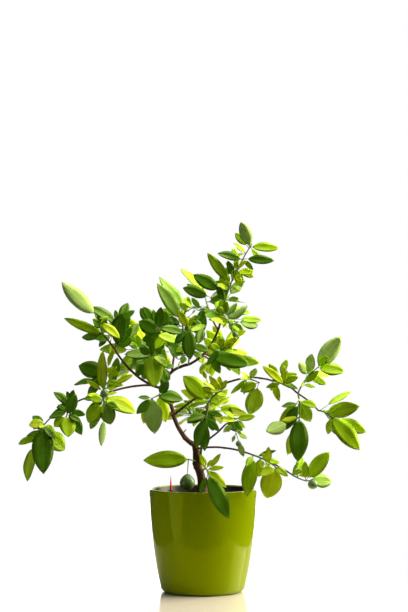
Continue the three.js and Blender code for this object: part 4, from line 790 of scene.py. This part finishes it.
    "low_right": foliage("whip", (146, -90, 254), (0, 0, 3), 30, [
        sprig(0.04, 260, 24, 8, 78, "mid", wide=0.42), sprig(0.35, -72, 26, 2, 50, "lime", wide=0.6),
        sprig(0.97, 255, 4, 3, 62, "lime", wide=0.7), sprig(0.7, 75, 5, 4, 34, "lime"),
        sprig(0.2, 20, 20, 3, 38, "dark", wide=0.26), sprig(0.5, -60, -10, 4, 46, "mid"),
        sprig(0.9, -20, 15, 4, 34, "mid")]),
    "low_right_end": foliage("whip_outer", (206, -86, 228), (0, 0, -2), 38, [
        sprig(0.08, 118, 10, 3, 38, "mid", wide=0.36), sprig(0.9, 58, 5, 8, 68, "mid", wide=0.46),
        sprig(0.96, 4, 0, 10, 50, "pale", wide=0.64), sprig(0.97, 18, 30, 14, 0, "mid", leaves=0, fruit=20),
        sprig(0.4, 80, -20, 12, 40, "mid", leaves=2)], middle=(220, -76, 234)),
    "low_front": foliage("trunk", (10, -116, 240), (2, 0, 14), 32, [
        sprig(0.97, -66, 10, 3, 92, "dark", wide=0.36), sprig(0.7, -38, 15, 3, 50, "lime", wide=0.36),
        sprig(0.6, 110, 20, 4, 30, "lime"), sprig(0.8, 64, 5, 12, 36, "lime", wide=0.32)], at=0.3),
    "low_left": foliage("trunk", (-30, -32, 268), (0, 0, 0), 33, [
        sprig(0.9, 183, 4, 2, 90, "mid", wide=0.4),
        sprig(1, 266, 14, 31, 0, "mid", leaves=0, fruit=31)], at=0.53),
    "back_left_leaves": foliage("back_left", (-132, 196, 482), (0, 0, 8), 34, [
        sprig(0.1, 120, 20, 26, 58, "dark", leaves=3), sprig(0.3, 200, 0, 34, 62, "dark", leaves=4),
        sprig(0.5, 20, -15, 34, 62, "mid", leaves=4), sprig(0.8, 165, -20, 36, 62, "dark", leaves=4),
        sprig(0.97, 70, -30, 30, 60, "mid", leaves=4)]),
    "back_right_leaves": foliage("back_right", (48, 200, 462), (0, 0, 8), 35, [
        sprig(0.1, 70, 15, 26, 58, "dark", leaves=3), sprig(0.3, 190, -10, 30, 60, "mid", leaves=3),
        sprig(0.5, 8, 0, 26, 56, "dark", leaves=3), sprig(0.8, 70, -30, 30, 60, "mid", leaves=4),
        sprig(0.97, 100, -25, 30, 60, "mid", leaves=4)]),
    "back_low_leaves": foliage("back_low", (8, 196, 368), (0, 0, 10), 36, [
        sprig(0.15, 170, 0, 34, 58, "dark", leaves=4), sprig(0.35, 10, -5, 34, 58, "mid", leaves=4),
        sprig(0.6, 185, -20, 34, 58, "dark", leaves=3), sprig(0.8, 0, -30, 32, 58, "dark", leaves=3),
        sprig(0.97, 80, -35, 28, 58, "mid", leaves=3)]),
    "back_top_leaves": foliage("back_top", (4, 118, 600), (0, 0, -4), 37, [
        sprig(0.15, 10, 0, 28, 54, "mid", leaves=3), sprig(0.4, 190, -5, 32, 58, "dark", leaves=4),
        sprig(0.7, 15, -20, 28, 58, "dark", leaves=4), sprig(0.97, 120, -15, 26, 58, "mid", leaves=4)]),
}


def draws_from(seed):
    """Repeatable numbers from 0 to 1, by the minimal standard generator."""
    state = seed * 48271
    while True:
        state = state * 16807 % 2147483647
        yield state / 2147483647


def facing(point):
    """The way upper faces turn: up, and out towards the nearer of the two open sides."""
    side = min(1.0, max(-1.0, (LIGHT_DIVIDE - point[1]) / LIGHT_BLEND))
    return unit(np.array([0, -side, LIGHT_UP]))


def turn_of_try(attempt, step):
    """Every second try goes to the other side, each pair further, in radians."""
    return math.radians(step * attempt * (1 if attempt % 2 else -1))


def turned(vector, axis, angle):
    """A vector turned about an axis: v cos a + (k x v) sin a + k (k . v) (1 - cos a)."""
    return (vector * math.cos(angle) + np.cross(axis, vector) * math.sin(angle)
            + axis * (axis @ vector) * (1 - math.cos(angle)))


def tangent_of(curve, share):
    """A quadratic curve's way at a share: (1 - t)(B - A) + t (C - B), made a unit."""
    return unit((1 - share) * (curve[1] - curve[0]) + share * (curve[2] - curve[1]))


def leaf_point(leaf, share, across, lift):
    """Points of a leaf a share of the way along, a share of the half-width across and lifted."""
    share, across, lift = (np.asarray(v, float)[..., None] for v in (share, across, lift))
    return (leaf["root"] + leaf["heading"] * (leaf["stalk"] + share * leaf["length"])
            + leaf["normal"] * (lift - leaf["curl"] * share * share) + leaf["across"] * across * leaf["half"])


def leaf_of(shoot, curve, index, attempt=0, middle=None):
    """One leaf of a shoot. A later try is shorter, stands elsewhere round the shoot and bends inwards."""
    draw = draws_from(shoot["seed"] + LEAF_SEEDS * index + TRY_SEEDS * attempt)
    last = index == shoot["leaves"] - 1
    lone = shoot["leaves"] == 1
    step = (STAND_LAST - STAND_FIRST) / max(1, shoot["leaves"] - 1)
    share = 0 if lone else STAND_TIP if last else STAND_FIRST + step * index
    along = tangent_of(curve, share)
    root = bezier(curve, share)
    lateral = unit(np.cross(facing(root), along)) * (1 if index % 2 else -1)
    lateral = turned(lateral, along, turn_of_try(attempt, TRY_TURN))
    play = next(draw) - 0.5
    spread = TRY_STRAY * (play + attempt) if last else math.radians(SPREAD + SPREAD_PLAY * play)
    heading = along * math.cos(spread) + lateral * math.sin(spread)
    if not last:
        heading = heading + facing(root) * LIFT * (next(draw) - LIFT_LESS) - UP * DROOP * next(draw)
    if middle is not None:
        heading = heading + unit(middle - root) * TRY_INWARDS * attempt
    heading = unit(heading)
    size = 1 if last else tapered(SIZE, next(draw))
    length = shoot["leaf"] * size * (1 - TRY_SHRINK * attempt)
    stray = np.array([next(draw) - 0.5 for _ in range(3)]) * NORMAL_PLAY
    normal = facing(root) * shoot.get("turn", 1) + stray
    normal = unit(normal - heading * (normal @ heading))
    return dict(root=root, heading=heading, normal=normal, across=np.cross(heading, normal), length=length,
                half=0.5 * shoot.get("wide", LEAF_WIDTH) * length,
                stalk=shoot["long"] if lone else LEAF_STALK,
                curl=length * tapered(LEAF_CURL, next(draw)), tone=shoot["tone"])


def shoot_curve(stem, shoot, attempt=0):
    """A shoot sags a little. A later try is shorter and leans towards the viewer or away."""
    start = bezier(stem, min(shoot["at"], STEM_SUNK_END))
    lean = math.radians(shoot["out"]) + turn_of_try(attempt, SHOOT_LEAN)
    reach = shoot["long"] * (1 - SHOOT_SHORTER * attempt)
    aim = math.radians(shoot["aim"])
    way = np.array([math.cos(aim) * math.cos(lean), -math.sin(lean), math.sin(aim) * math.cos(lean)])
    return np.array([start, start + way * reach / 2, start + way * reach - UP * SHOOT_SAG * reach])


def fruit_centre(curve, diameter):
    """A fruit hangs from its shoot's tip, which is sunk into it."""
    return curve[2] - UP * FRUIT_SUNK * diameter


def planned(name, mass):
    """A mass as the rule first asks for it: its middle, and the mean square distance of its leaves and
    fruit from that, each taken as an even rod."""
    stem = bowed(limb_lines[mass["limb"]](mass.get("at", 1)), mass["to"], mass["bow"])
    shoots = [{"leaves": 1, **shoot, "seed": MASS_SEEDS * mass["seed"] + SHOOT_SEEDS * index}
              for index, shoot in enumerate(mass["shoots"])]
    spots, sizes = [], []
    for shoot in shoots:
        curve = shoot_curve(stem, shoot)
        for index in range(shoot["leaves"]):
            leaf = leaf_of(shoot, curve, index)
            spots.append(leaf_point(leaf, 0.5, 0, 0))
            sizes.append(leaf["length"])
        if "fruit" in shoot:
            spots.append(fruit_centre(curve, shoot["fruit"]))
            sizes.append(shoot["fruit"])
    spots, sizes = np.array(spots), np.array(sizes)
    centre = np.array(mass.get("middle", spots.mean(0)), float)
    mean = (((spots - centre) ** 2).sum(1) + sizes ** 2 / 12).mean()
    reach = mass.get("reach", max(math.sqrt(mean), LEAST_REACH))
    return dict(mass, name=name, stem=stem, shoots=shoots, centre=centre, reach2=reach * reach)


plans = [planned(name, mass) for name, mass in MASSES.items()]
centres = np.array([plan["centre"] for plan in plans])
reaches = np.array([plan["reach2"] for plan in plans])


def in_own_cell(number, points):
    """Whether points lie nearer to the mass's middle than to any other, by the masses' reaches."""
    power = ((np.atleast_2d(points)[:, None] - centres) ** 2).sum(2) - reaches
    between = 2 * np.linalg.norm(centres - centres[number], axis=1)
    between[number] = 1
    room = (power - power[:, number:number + 1]) / between
    room[:, number] = np.inf
    return bool((room > GAP).all())


def beads(line, radii, length):
    """Round beads along a limb, about a bead step apart: their middles and radii."""
    share = np.linspace(0, 1, math.ceil(length / BEAD_STEP) + 1)
    return line(share), tapered(radii, share)


def length_of(line):
    """A limb's length, measured along 200 straight steps."""
    return np.linalg.norm(np.diff(line(np.linspace(0, 1, 201)), axis=0), axis=1).sum()


def curve_beads(curve, radii):
    return beads(line_of(curve), radii, length_of(line_of(curve)))


bead_sets = [beads(trunk_at, (TRUNK_FOOT, TRUNK_FORK), length_of(trunk_at))]
bead_sets += [beads(limb_lines[limb], row[4], length_of(limb_lines[limb])) for limb, row in BOUGHS.items()]
bead_sets += [curve_beads(plan["stem"], STEM_RADIUS) for plan in plans]
bead_owner = np.concatenate([np.full(len(middles), number - len(BOUGHS) - 1)
                             for number, (middles, _) in enumerate(bead_sets)])
bead_middle = np.concatenate([middles for middles, _ in bead_sets])
bead_radius = np.concatenate([radii for _, radii in bead_sets])


def against(leaf, points):
    """Where points stand against a leaf: their share along it, how far across, and how high."""
    offset = points - leaf["root"]
    share = (offset @ leaf["heading"] - leaf["stalk"]) / leaf["length"]
    return share, np.abs(offset @ leaf["across"]), offset @ leaf["normal"] + leaf["curl"] * share * share


def half_at(leaf, share):
    """A leaf's half-width a share of the way along: full between two shares, and even to root and tip."""
    return leaf["half"] * np.minimum(1, np.minimum(share / LEAF_BROAD[0], (1 - share) / (1 - LEAF_BROAD[1])))


def leaf_touches(leaf, middles, radii):
    """Whether limb beads reach a leaf's outline and its height."""
    share, across, lift = against(leaf, middles)
    near = radii + CLEARANCE
    beside = (share < 0) | (share > 1) | (across > half_at(leaf, share) + near)
    return ~beside & (np.abs(lift) < near + LEAF_FOLD * leaf["half"])


ALONG, ASIDE = (grid.ravel() for grid in np.meshgrid((0.2, 0.4, 0.6, 0.8, 1), (-0.9, -0.45, 0, 0.45, 0.9)))


def cuts(leaf, other):
    """Whether some of a leaf's points lie above another leaf and some below it, or close to it."""
    points = leaf_point(leaf, ALONG, ASIDE * half_at(leaf, ALONG) / leaf["half"], 0)
    share, across, lift = against(other, points)
    near = (share >= 0) & (share <= 1) & (across <= half_at(other, share) + CLEARANCE)
    return bool((near & (lift > -CLEARANCE)).any() and (near & (lift < CLEARANCE)).any())


def clear_of_pot(points):
    """Whether points keep clear of the pot: above its rim, outside it, or inside it over the soil."""
    points = np.atleast_2d(points)
    off = np.hypot(points[:, 0], points[:, 1])
    high = points[:, 2] - POT_ROOM
    over_soil = (off < pot_inside(COLLAR_FOOT) - COLLAR_DROP) & (high > SOIL_MIDDLE)
    return bool(((high > POT_HEIGHT) | (off > POT_RIM + POT_ROOM) | over_soil).all())


def leaf_fits(number, leaf, twigs, leaves):
    """A leaf fits in its mass's cell, clear of the pot, of every limb and of the mass's own leaves. Near
    its root it may touch the twig that it grows on."""
    rise = LEAF_FOLD * leaf["half"]
    corners = [leaf["root"], leaf_point(leaf, 1, 0, 0)]
    for share, width in LEAF_STATIONS:
        corners += [leaf_point(leaf, share, width, rise), leaf_point(leaf, share, -width, rise)]
    corners = np.array(corners)
    if not (in_own_cell(number, corners) and clear_of_pot(corners)):
        return False
    others = bead_owner != number
    if leaf_touches(leaf, bead_middle[others], bead_radius[others]).any():
        return False
    middles, radii = (np.concatenate(part) for part in zip(*twigs))
    away = np.linalg.norm(middles - leaf["root"], axis=1) >= ROOT_ROOM
    if leaf_touches(leaf, middles[away], radii[away]).any():
        return False
    return not any(cuts(leaf, other) or cuts(other, leaf) for other in leaves)


def shoot_fits(number, curve, fruit):
    """A shoot fits if it and its fruit keep to the cell and clear of the pot and of other limbs."""
    middles, radii = curve_beads(curve, SHOOT_RADIUS)
    if fruit:
        middles = np.concatenate([middles, [fruit_centre(curve, fruit)]])
        radii = np.append(radii, fruit / 2)
    others = bead_owner != number
    away = np.linalg.norm(middles[:, None] - bead_middle[others], axis=2)
    clear = (away > radii[:, None] + bead_radius[others] + CLEARANCE).all()
    return bool(clear) and in_own_cell(number, middles) and clear_of_pot(middles)


def first_fit(make, fits):
    """The first of a few tries that fits, or None: then the shoot or the leaf is skipped."""
    return next((made for made in map(make, range(TRIES)) if fits(made)), None)


# The finer growth: a smaller leaf beside each lone one, turned aside from it, and a few more on each shoot.
FINER_SIZE = 0.6
FINER_STALK = 5
FINER_LONGEST = 36
FINER_TURN = 52
FINER_SEED = 500


def grown(number, plan):
    """The mass's shoots, leaves and fruit that fit: lone leaves first, then the ones at the shoots' tips,
    then the others, and last the finer growth. Pale lone leaves, and the lowest mass on the left, stand
    alone against the sky, so they get none."""
    twigs = [curve_beads(plan["stem"], STEM_RADIUS)]
    shoots = []
    for shoot in plan["shoots"]:
        fruit = shoot.get("fruit")
        curve = shoot_curve(plan["stem"], shoot)
        if shoot["leaves"] != 1:
            curve = first_fit(lambda attempt: shoot_curve(plan["stem"], shoot, attempt),
                              lambda made: shoot_fits(number, made, fruit))
        if curve is None:
            continue
        shoots.append((shoot, curve))
        if shoot["leaves"] != 1:
            twigs.append(curve_beads(curve, SHOOT_RADIUS))
        if fruit:
            twigs.append((fruit_centre(curve, fruit)[None], np.array([fruit / 2])))
    leaves = []
    order = [(shoot, curve, 0) for shoot, curve in shoots if shoot["leaves"] == 1]
    order += [(shoot, curve, shoot["leaves"] - 1) for shoot, curve in shoots if shoot["leaves"] > 1]
    order += [(shoot, curve, index) for shoot, curve in shoots for index in range(shoot["leaves"] - 1)]
    for place, (shoot, curve) in enumerate(shoots):
        finer = dict(shoot, seed=shoot["seed"] + FINER_SEED, long=FINER_STALK,
                     leaf=min(FINER_LONGEST, shoot["leaf"] * FINER_SIZE))
        if shoot["leaves"] > 1:
            finer["leaves"] = shoot["leaves"] + 1
            order += [(finer, curve, index) for index in range(shoot["leaves"])]
        elif shoot["leaves"] == 1 and shoot["tone"] != "pale" and plan["name"] != "low_left":
            finer["aim"] = shoot["aim"] + FINER_TURN * (1 if place % 2 else -1)
            order.append((finer, shoot_curve(plan["stem"], finer), 0))
    for shoot, curve, index in order:
        leaf = first_fit(lambda attempt: leaf_of(shoot, curve, index, attempt, plan["centre"]),
                         lambda made: leaf_fits(number, made, twigs, leaves))
        if leaf:
            leaves.append(leaf)
    return shoots, leaves


masses = [(plan, *grown(number, plan)) for number, plan in enumerate(plans)]

# The radii at both ends of what is seen of a stem, a shoot and a leaf's stalk, which runs into its midrib.
STEM_SEEN, SHOOT_SEEN, STALK_SEEN = (1.75, 1.2), (1.15, 0.65), (0.75, 0.5)
STALK_INTO_LEAF = 1.5


def add_twig(line, ends, steps, sides):
    """Adds a tapering twig along a line, which gives the points for shares of its way."""
    share = np.linspace(0, 1, steps)
    twig_pile.add(*tube(line(share), tapered(ends, share), sides)[:2])


young_bark = bark_finish("green_twig", (0.08, 0.14, 0.02), (0.17, 0.26, 0.05), (0.07, 0.07, 0.02))
twig_pile = Pile()
for plan, shoots, leaves in masses:
    add_twig(line_of(plan["stem"]), STEM_SEEN, 24, 9)
    for shoot, curve in shoots:
        if shoot["leaves"] != 1:
            add_twig(line_of(curve), SHOOT_SEEN, 12, 7)
    for leaf in leaves:
        reach = leaf["stalk"] + STALK_INTO_LEAF
        add_twig(lambda share: leaf["root"] + np.outer(share * reach, leaf["heading"]), STALK_SEEN, 5, 6)
twig_piece = twig_pile.put("green_twigs", [young_bark])
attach(twig_piece, "root")
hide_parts(*MASSES)


# The leaves are leathery blades, pointed at both ends, folded along the midrib and curled back at the
# tip. They go from old dark green to young yellow-green, and they are paler and duller underneath. Their
# colours also hold painted light: the dark tone is painted shade on leaves away from the lamps, and the mid
# and lime tones and the backs are made lighter as painted glow of light shining through the leaves.
BLADE_STATIONS = 9
BLADE_ACROSS = 4
BLADE_THICK = 0.35
OUTLINE_PEAK = (0.75, 0.85)
EDGE_WAVE = 0.02
WAVES = 1.4
CUP = 1.4
VEINS_ALONG, VEINS_SLANT, VEINS_SEEN = 50.0, 26.0, 0.16

# Each tone's upper face and back, from old leaves to young ones and to the ones that turn their backs.
# The dark tone is also painted shade, and the lighter tones and the backs are raised as painted glow of
# light through the leaf.
LEAF_TONES_WITH_PAINTED_LIGHT = {
    "dark": ((0.07, 0.2, 0.0), (0.32, 0.52, 0.01)),
    "mid": ((0.34, 0.56, 0.0), (0.56, 0.74, 0.02)),
    "lime": ((0.48, 0.64, 0.0), (0.58, 0.76, 0.03)),
    "pale": ((0.31, 0.52, 0.08), (0.42, 0.62, 0.15)),
}


def outline(share):
    """A leaf's half-width along it, as a share of the greatest: t^p (1 - t)^q over its own peak."""
    p, q = OUTLINE_PEAK
    peak = (p / (p + q)) ** p * (q / (p + q)) ** q
    return share ** p * (1 - share) ** q / peak


def blade_plan():
    """The numbering that all leaves share. Stations between the base and the tip have a row of points on
    the upper face and inner ones on the lower, which share their edges. Gives each point's share along
    and across, its side, the faces, and their finishes: 0 for the upper face, 1 for the back."""
    rows = np.linspace(0, 1, BLADE_STATIONS + 2)[1:-1]
    across = np.linspace(-1, 1, BLADE_ACROSS + 1)
    count = BLADE_STATIONS * (BLADE_ACROSS + 1)
    upper = np.arange(count).reshape(BLADE_STATIONS, BLADE_ACROSS + 1)
    lower = upper.copy()
    lower[:, 1:-1] = count + np.arange(BLADE_STATIONS * (BLADE_ACROSS - 1)).reshape(BLADE_STATIONS, -1)
    base = lower.max() + 1
    tip = base + 1
    along = np.concatenate([np.repeat(rows, BLADE_ACROSS + 1), np.repeat(rows, BLADE_ACROSS - 1), [0, 1]])
    aside = np.concatenate([np.tile(across, BLADE_STATIONS), np.tile(across[1:-1], BLADE_STATIONS), [0, 0]])
    side = np.concatenate([np.zeros(count), np.ones(BLADE_STATIONS * (BLADE_ACROSS - 1)), [0, 0]])
    faces = []
    for grid, flip in ((upper, False), (lower, True)):
        quads = np.stack([grid[:-1, :-1], grid[:-1, 1:], grid[1:, 1:], grid[1:, :-1]], 2).reshape(-1, 4)
        ends = [np.stack([np.full(BLADE_ACROSS, base), grid[0, 1:], grid[0, :-1]], 1),
                np.stack([grid[-1, :-1], grid[-1, 1:], np.full(BLADE_ACROSS, tip)], 1)]
        parts = [quads, *ends]
        faces += [np.roll(part[:, ::-1], 1, 1) for part in parts] if flip else parts
    return along, aside, side, faces, np.repeat([0, 1], len(parts))


def shade(colour, times, plus=0):
    """A lighter or darker form of a colour."""
    return (*(min(1, part * times + plus) for part in colour), 1)


def leaf_finish(name, colour, rib_share, sheen, roughness):
    """A leaf's face: a cloud in its green, a paler midrib and side veins, and a waxy gloss."""
    finish = Finish(name, {"Specular IOR Level": sheen, "IOR": 1.42, "Specular Tint": (0.9, 1, 0.2, 1)})
    place = finish.object_place()
    own = finish.add("ShaderNodeTexCoord", output="UV")
    aside = finish.add("ShaderNodeSeparateXYZ", {}, {0: own}, 0)
    along = finish.add("ShaderNodeSeparateXYZ", {}, {0: own}, 1)
    off = (aside - 0.5).math("ABSOLUTE")
    midrib = 1 - finish.ramp(off, 0.012, 0.045)
    veins = finish.ramp((along * VEINS_ALONG - off * VEINS_SLANT).math("SINE"), 0.3, 1.0) * VEINS_SEEN
    ribs_seen = midrib.math("MAXIMUM", veins)
    cloud = finish.ramp(finish.noise(place, 26.0, 2.0), 0.3, 0.7)
    body = finish.blend(cloud, shade(colour, 0.78), shade(colour, 1.25, 0.01))
    finish.fill(finish.shader, {
        "Base Color": finish.blend(ribs_seen * rib_share, body, shade(colour, 1.35, 0.03)),
        "Roughness": finish.noise(place, 55.0, 3.0) * 0.16 + roughness,
        "Normal": finish.bump(midrib * -1.0, 0.2, 0.0003)})
    return finish


along, aside, side, blade_faces, blade_marks = blade_plan()
widths = outline(along)
spots = np.stack([0.5 + 0.5 * aside * widths, along], 1)
for tone, (upper, lower) in LEAF_TONES_WITH_PAINTED_LIGHT.items():
    chosen = [leaf for _, _, leaves in masses for leaf in leaves if leaf["tone"] == tone]
    pile = Pile()
    draw = np.random.default_rng(90)
    for leaf in chosen:
        wave = np.sin(2 * np.pi * (WAVES * along + draw.uniform())) * aside ** 2 * widths
        wave *= EDGE_WAVE * leaf["length"]
        lift = LEAF_FOLD * leaf["half"] * widths * np.abs(aside) ** CUP + wave - side * BLADE_THICK
        lift = lift - LEAF_KEEL * leaf["length"] * (1 - np.abs(aside)) * widths
        points = leaf_point(leaf, along, aside * widths, lift)
        pile.add(points, blade_faces, spots, blade_marks)
    finishes = [leaf_finish(tone + "_leaf_top", upper, 0.5, 0.6, 0.28),
                leaf_finish(tone + "_leaf_back", lower, 0.6, 0.3, 0.5)]
    leaf_piece = pile.put("leaves_" + tone, finishes)
    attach(leaf_piece, "root")
    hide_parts(*[plan["name"] for plan, _, leaves in masses
                              if any(leaf["tone"] == tone for leaf in leaves)])


# The fruit is green and unripe: a ball drawn up to its stalk like a drop, with oil pores in a glossy rind,
# hung from a small star of sepals.
FRUIT_FLAT = 0.97
FRUIT_TALL = 1.16
FRUIT_NARROW = 0.24
FRUIT_DENT = 0.05
FRUIT_SEEN = 0.99
SEPALS = 5
SEPAL_SIDES = 40
SEPAL_REACH = 0.13
SEPAL_DEEP = 0.35


def rind_finish():
    """Green rind: pores sunk by a cell pattern, and a cloud from dark to fresh green."""
    finish = Finish("green_rind", {"Coat Weight": 0.4, "Coat Roughness": 0.15, "IOR": 1.45})
    place = finish.object_place()
    pores = finish.add("ShaderNodeTexVoronoi", {}, {"Vector": place, "Scale": 1100.0})
    cloud = finish.ramp(finish.noise(place, 60.0, 2.0), 0.3, 0.7)
    finish.fill(finish.shader, {
        "Base Color": finish.blend(cloud, (0.07, 0.15, 0.03, 1), (0.15, 0.28, 0.06, 1)),
        "Roughness": finish.noise(place, 90.0, 2.0) * 0.15 + 0.25,
        "Normal": finish.bump(finish.ramp(pores, 0.0, 0.5), 0.35, 0.0005)})
    return finish


def fruit_ball(centre, diameter):
    """A turned ball drawn up to its stalk like a drop: above the middle it narrows with sin squared and
    stands taller, and it is dented at the stalk."""
    turn = np.radians(np.linspace(-90, 90, 25))
    rise = np.clip(np.sin(turn), 0, 1)
    radius = diameter / 2 * np.cos(turn) * (1 - FRUIT_NARROW * rise ** 2)
    dent = FRUIT_DENT * diameter * np.exp(-((turn - np.pi / 2) / 0.25) ** 2)
    height = diameter / 2 * np.sin(turn) * np.where(rise > 0, FRUIT_TALL, FRUIT_FLAT) - dent
    points, faces = revolved([np.stack([radius, height], 1)], 32)
    return points + centre, faces


def sepal_star(centre, diameter):
    """A low star: a disc whose edge goes in and out, r = R (1 + d cos 5a), arched over the ball."""
    angle = np.arange(SEPAL_SIDES) * 2 * np.pi / SEPAL_SIDES
    edge = SEPAL_REACH * diameter * (1 + SEPAL_DEEP * np.cos(SEPALS * angle))
    top = diameter / 2 * FRUIT_TALL - 0.03 * diameter
    rings = [np.stack([share * edge * np.cos(angle), share * edge * np.sin(angle),
                       np.full(SEPAL_SIDES, top + 0.5 - 0.9 * share ** 2)], 1) for share in (1.0, 0.6, 0.3)]
    low = rings[0] - [0, 0, 0.5]
    points = np.concatenate([low, *rings, [[0, 0, top - 0.4], [0, 0, top + 0.6]]])
    return points + centre, ring_faces(1 + len(rings), SEPAL_SIDES)


fruit_pile = Pile()
for plan, shoots, _ in masses:
    for shoot, curve in shoots:
        if "fruit" in shoot:
            centre = fruit_centre(curve, shoot["fruit"])
            fruit_pile.add(*fruit_ball(centre, shoot["fruit"] * FRUIT_SEEN))
            fruit_pile.add(*sepal_star(centre, shoot["fruit"]), mark=1)
fruit_piece = fruit_pile.put("green_fruit", [rind_finish(), young_bark])
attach(fruit_piece, "root")
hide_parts(*[plan["name"] for plan, shoots, _ in masses
                           if any("fruit" in shoot for shoot, _ in shoots)])


# The studio: a plain pale floor with a soft shine, soft boxes behind, above and to the right, and a weaker
# one to the left that draws the soft stripe on the pot. The surround is white to the camera only.
FLOOR_HALF = 430
FLOOR_FRONT = -340
FLOOR_END = 2200


def soft_box(name, place, aim, width, height, radiance, colour, shape="RECTANGLE"):
    """An even sheet of light that faces its aim. Power is radiance times pi times width times height."""
    light = bpy.data.lights.new(name, "AREA")
    light.color = colour
    light.shape = shape
    light.size = width
    light.size_y = height
    light.energy = radiance * math.pi * width * height
    lamp = bpy.data.objects.new(name, light)
    lamp.location = place
    way = np.array(aim) - place
    lamp.rotation_euler = (math.acos(-way[2] / np.linalg.norm(way)), 0, math.atan2(-way[0], way[1]))
    lamp.visible_camera = False
    bpy.context.scene.collection.objects.link(lamp)


floor_finish = Finish("pale_floor", {"Base Color": (0.78, 0.69, 0.63, 1), "Roughness": 0.16})
corners = [(-FLOOR_HALF, FLOOR_FRONT, 0), (FLOOR_HALF, FLOOR_FRONT, 0), (FLOOR_HALF, FLOOR_END, 0),
           (-FLOOR_HALF, FLOOR_END, 0)]
floor = put_mesh("floor", [floor_finish], np.array(corners, float), [np.array([[0, 1, 2, 3]])])
soft_box("back_box", (0.1, 2.4, 1.15), (0.1, 0, 0.9), 1.9, 2.3, 3.0, (1, 1, 1))
soft_box("right_box", (1.9, 0.3, 1.2), (0, 0.1, 0.3), 1.8, 1.8, 12.0, (1, 0.95, 0.7))
soft_box("top_box", (0.5, 0.05, 2.5), (0, 0, 0.3), 2.4, 1.3, 7.0, (1, 0.97, 0.85))
soft_box("left_round", (-1.37, -0.82, 0.1), (0, 0, 0.1), 0.95, 0.95, 1.2, (1, 1, 0.95), "ELLIPSE")

world = bpy.data.worlds.new("studio")
bpy.context.scene.world = world
world.use_nodes = True
surround = world.node_tree.nodes["Background"]
seen = world.node_tree.nodes.new("ShaderNodeLightPath")
white = world.node_tree.nodes.new("ShaderNodeMix")
white.data_type = "RGBA"
white.inputs[6].default_value = (0.03, 0.04, 0.035, 1)
white.inputs[7].default_value = (1, 1, 1, 1)
world.node_tree.links.new(seen.outputs["Is Camera Ray"], white.inputs[0])
world.node_tree.links.new(white.outputs[2], surround.inputs["Color"])
bpy.context.scene.view_settings.view_transform = "Standard"

CAMERA_PLACE = (0.002, -3.5, 0.487)
CAMERA_AIM_HEIGHT = 0.576
LENS = 101.5
camera = bpy.data.objects.new("camera", bpy.data.cameras.new("camera"))
camera.data.lens = LENS
camera.location = CAMERA_PLACE
tilt = math.atan2(CAMERA_AIM_HEIGHT - CAMERA_PLACE[2], -CAMERA_PLACE[1])
camera.rotation_euler = (math.pi / 2 + tilt, 0, 0)
bpy.context.scene.collection.objects.link(camera)
bpy.context.scene.camera = camera
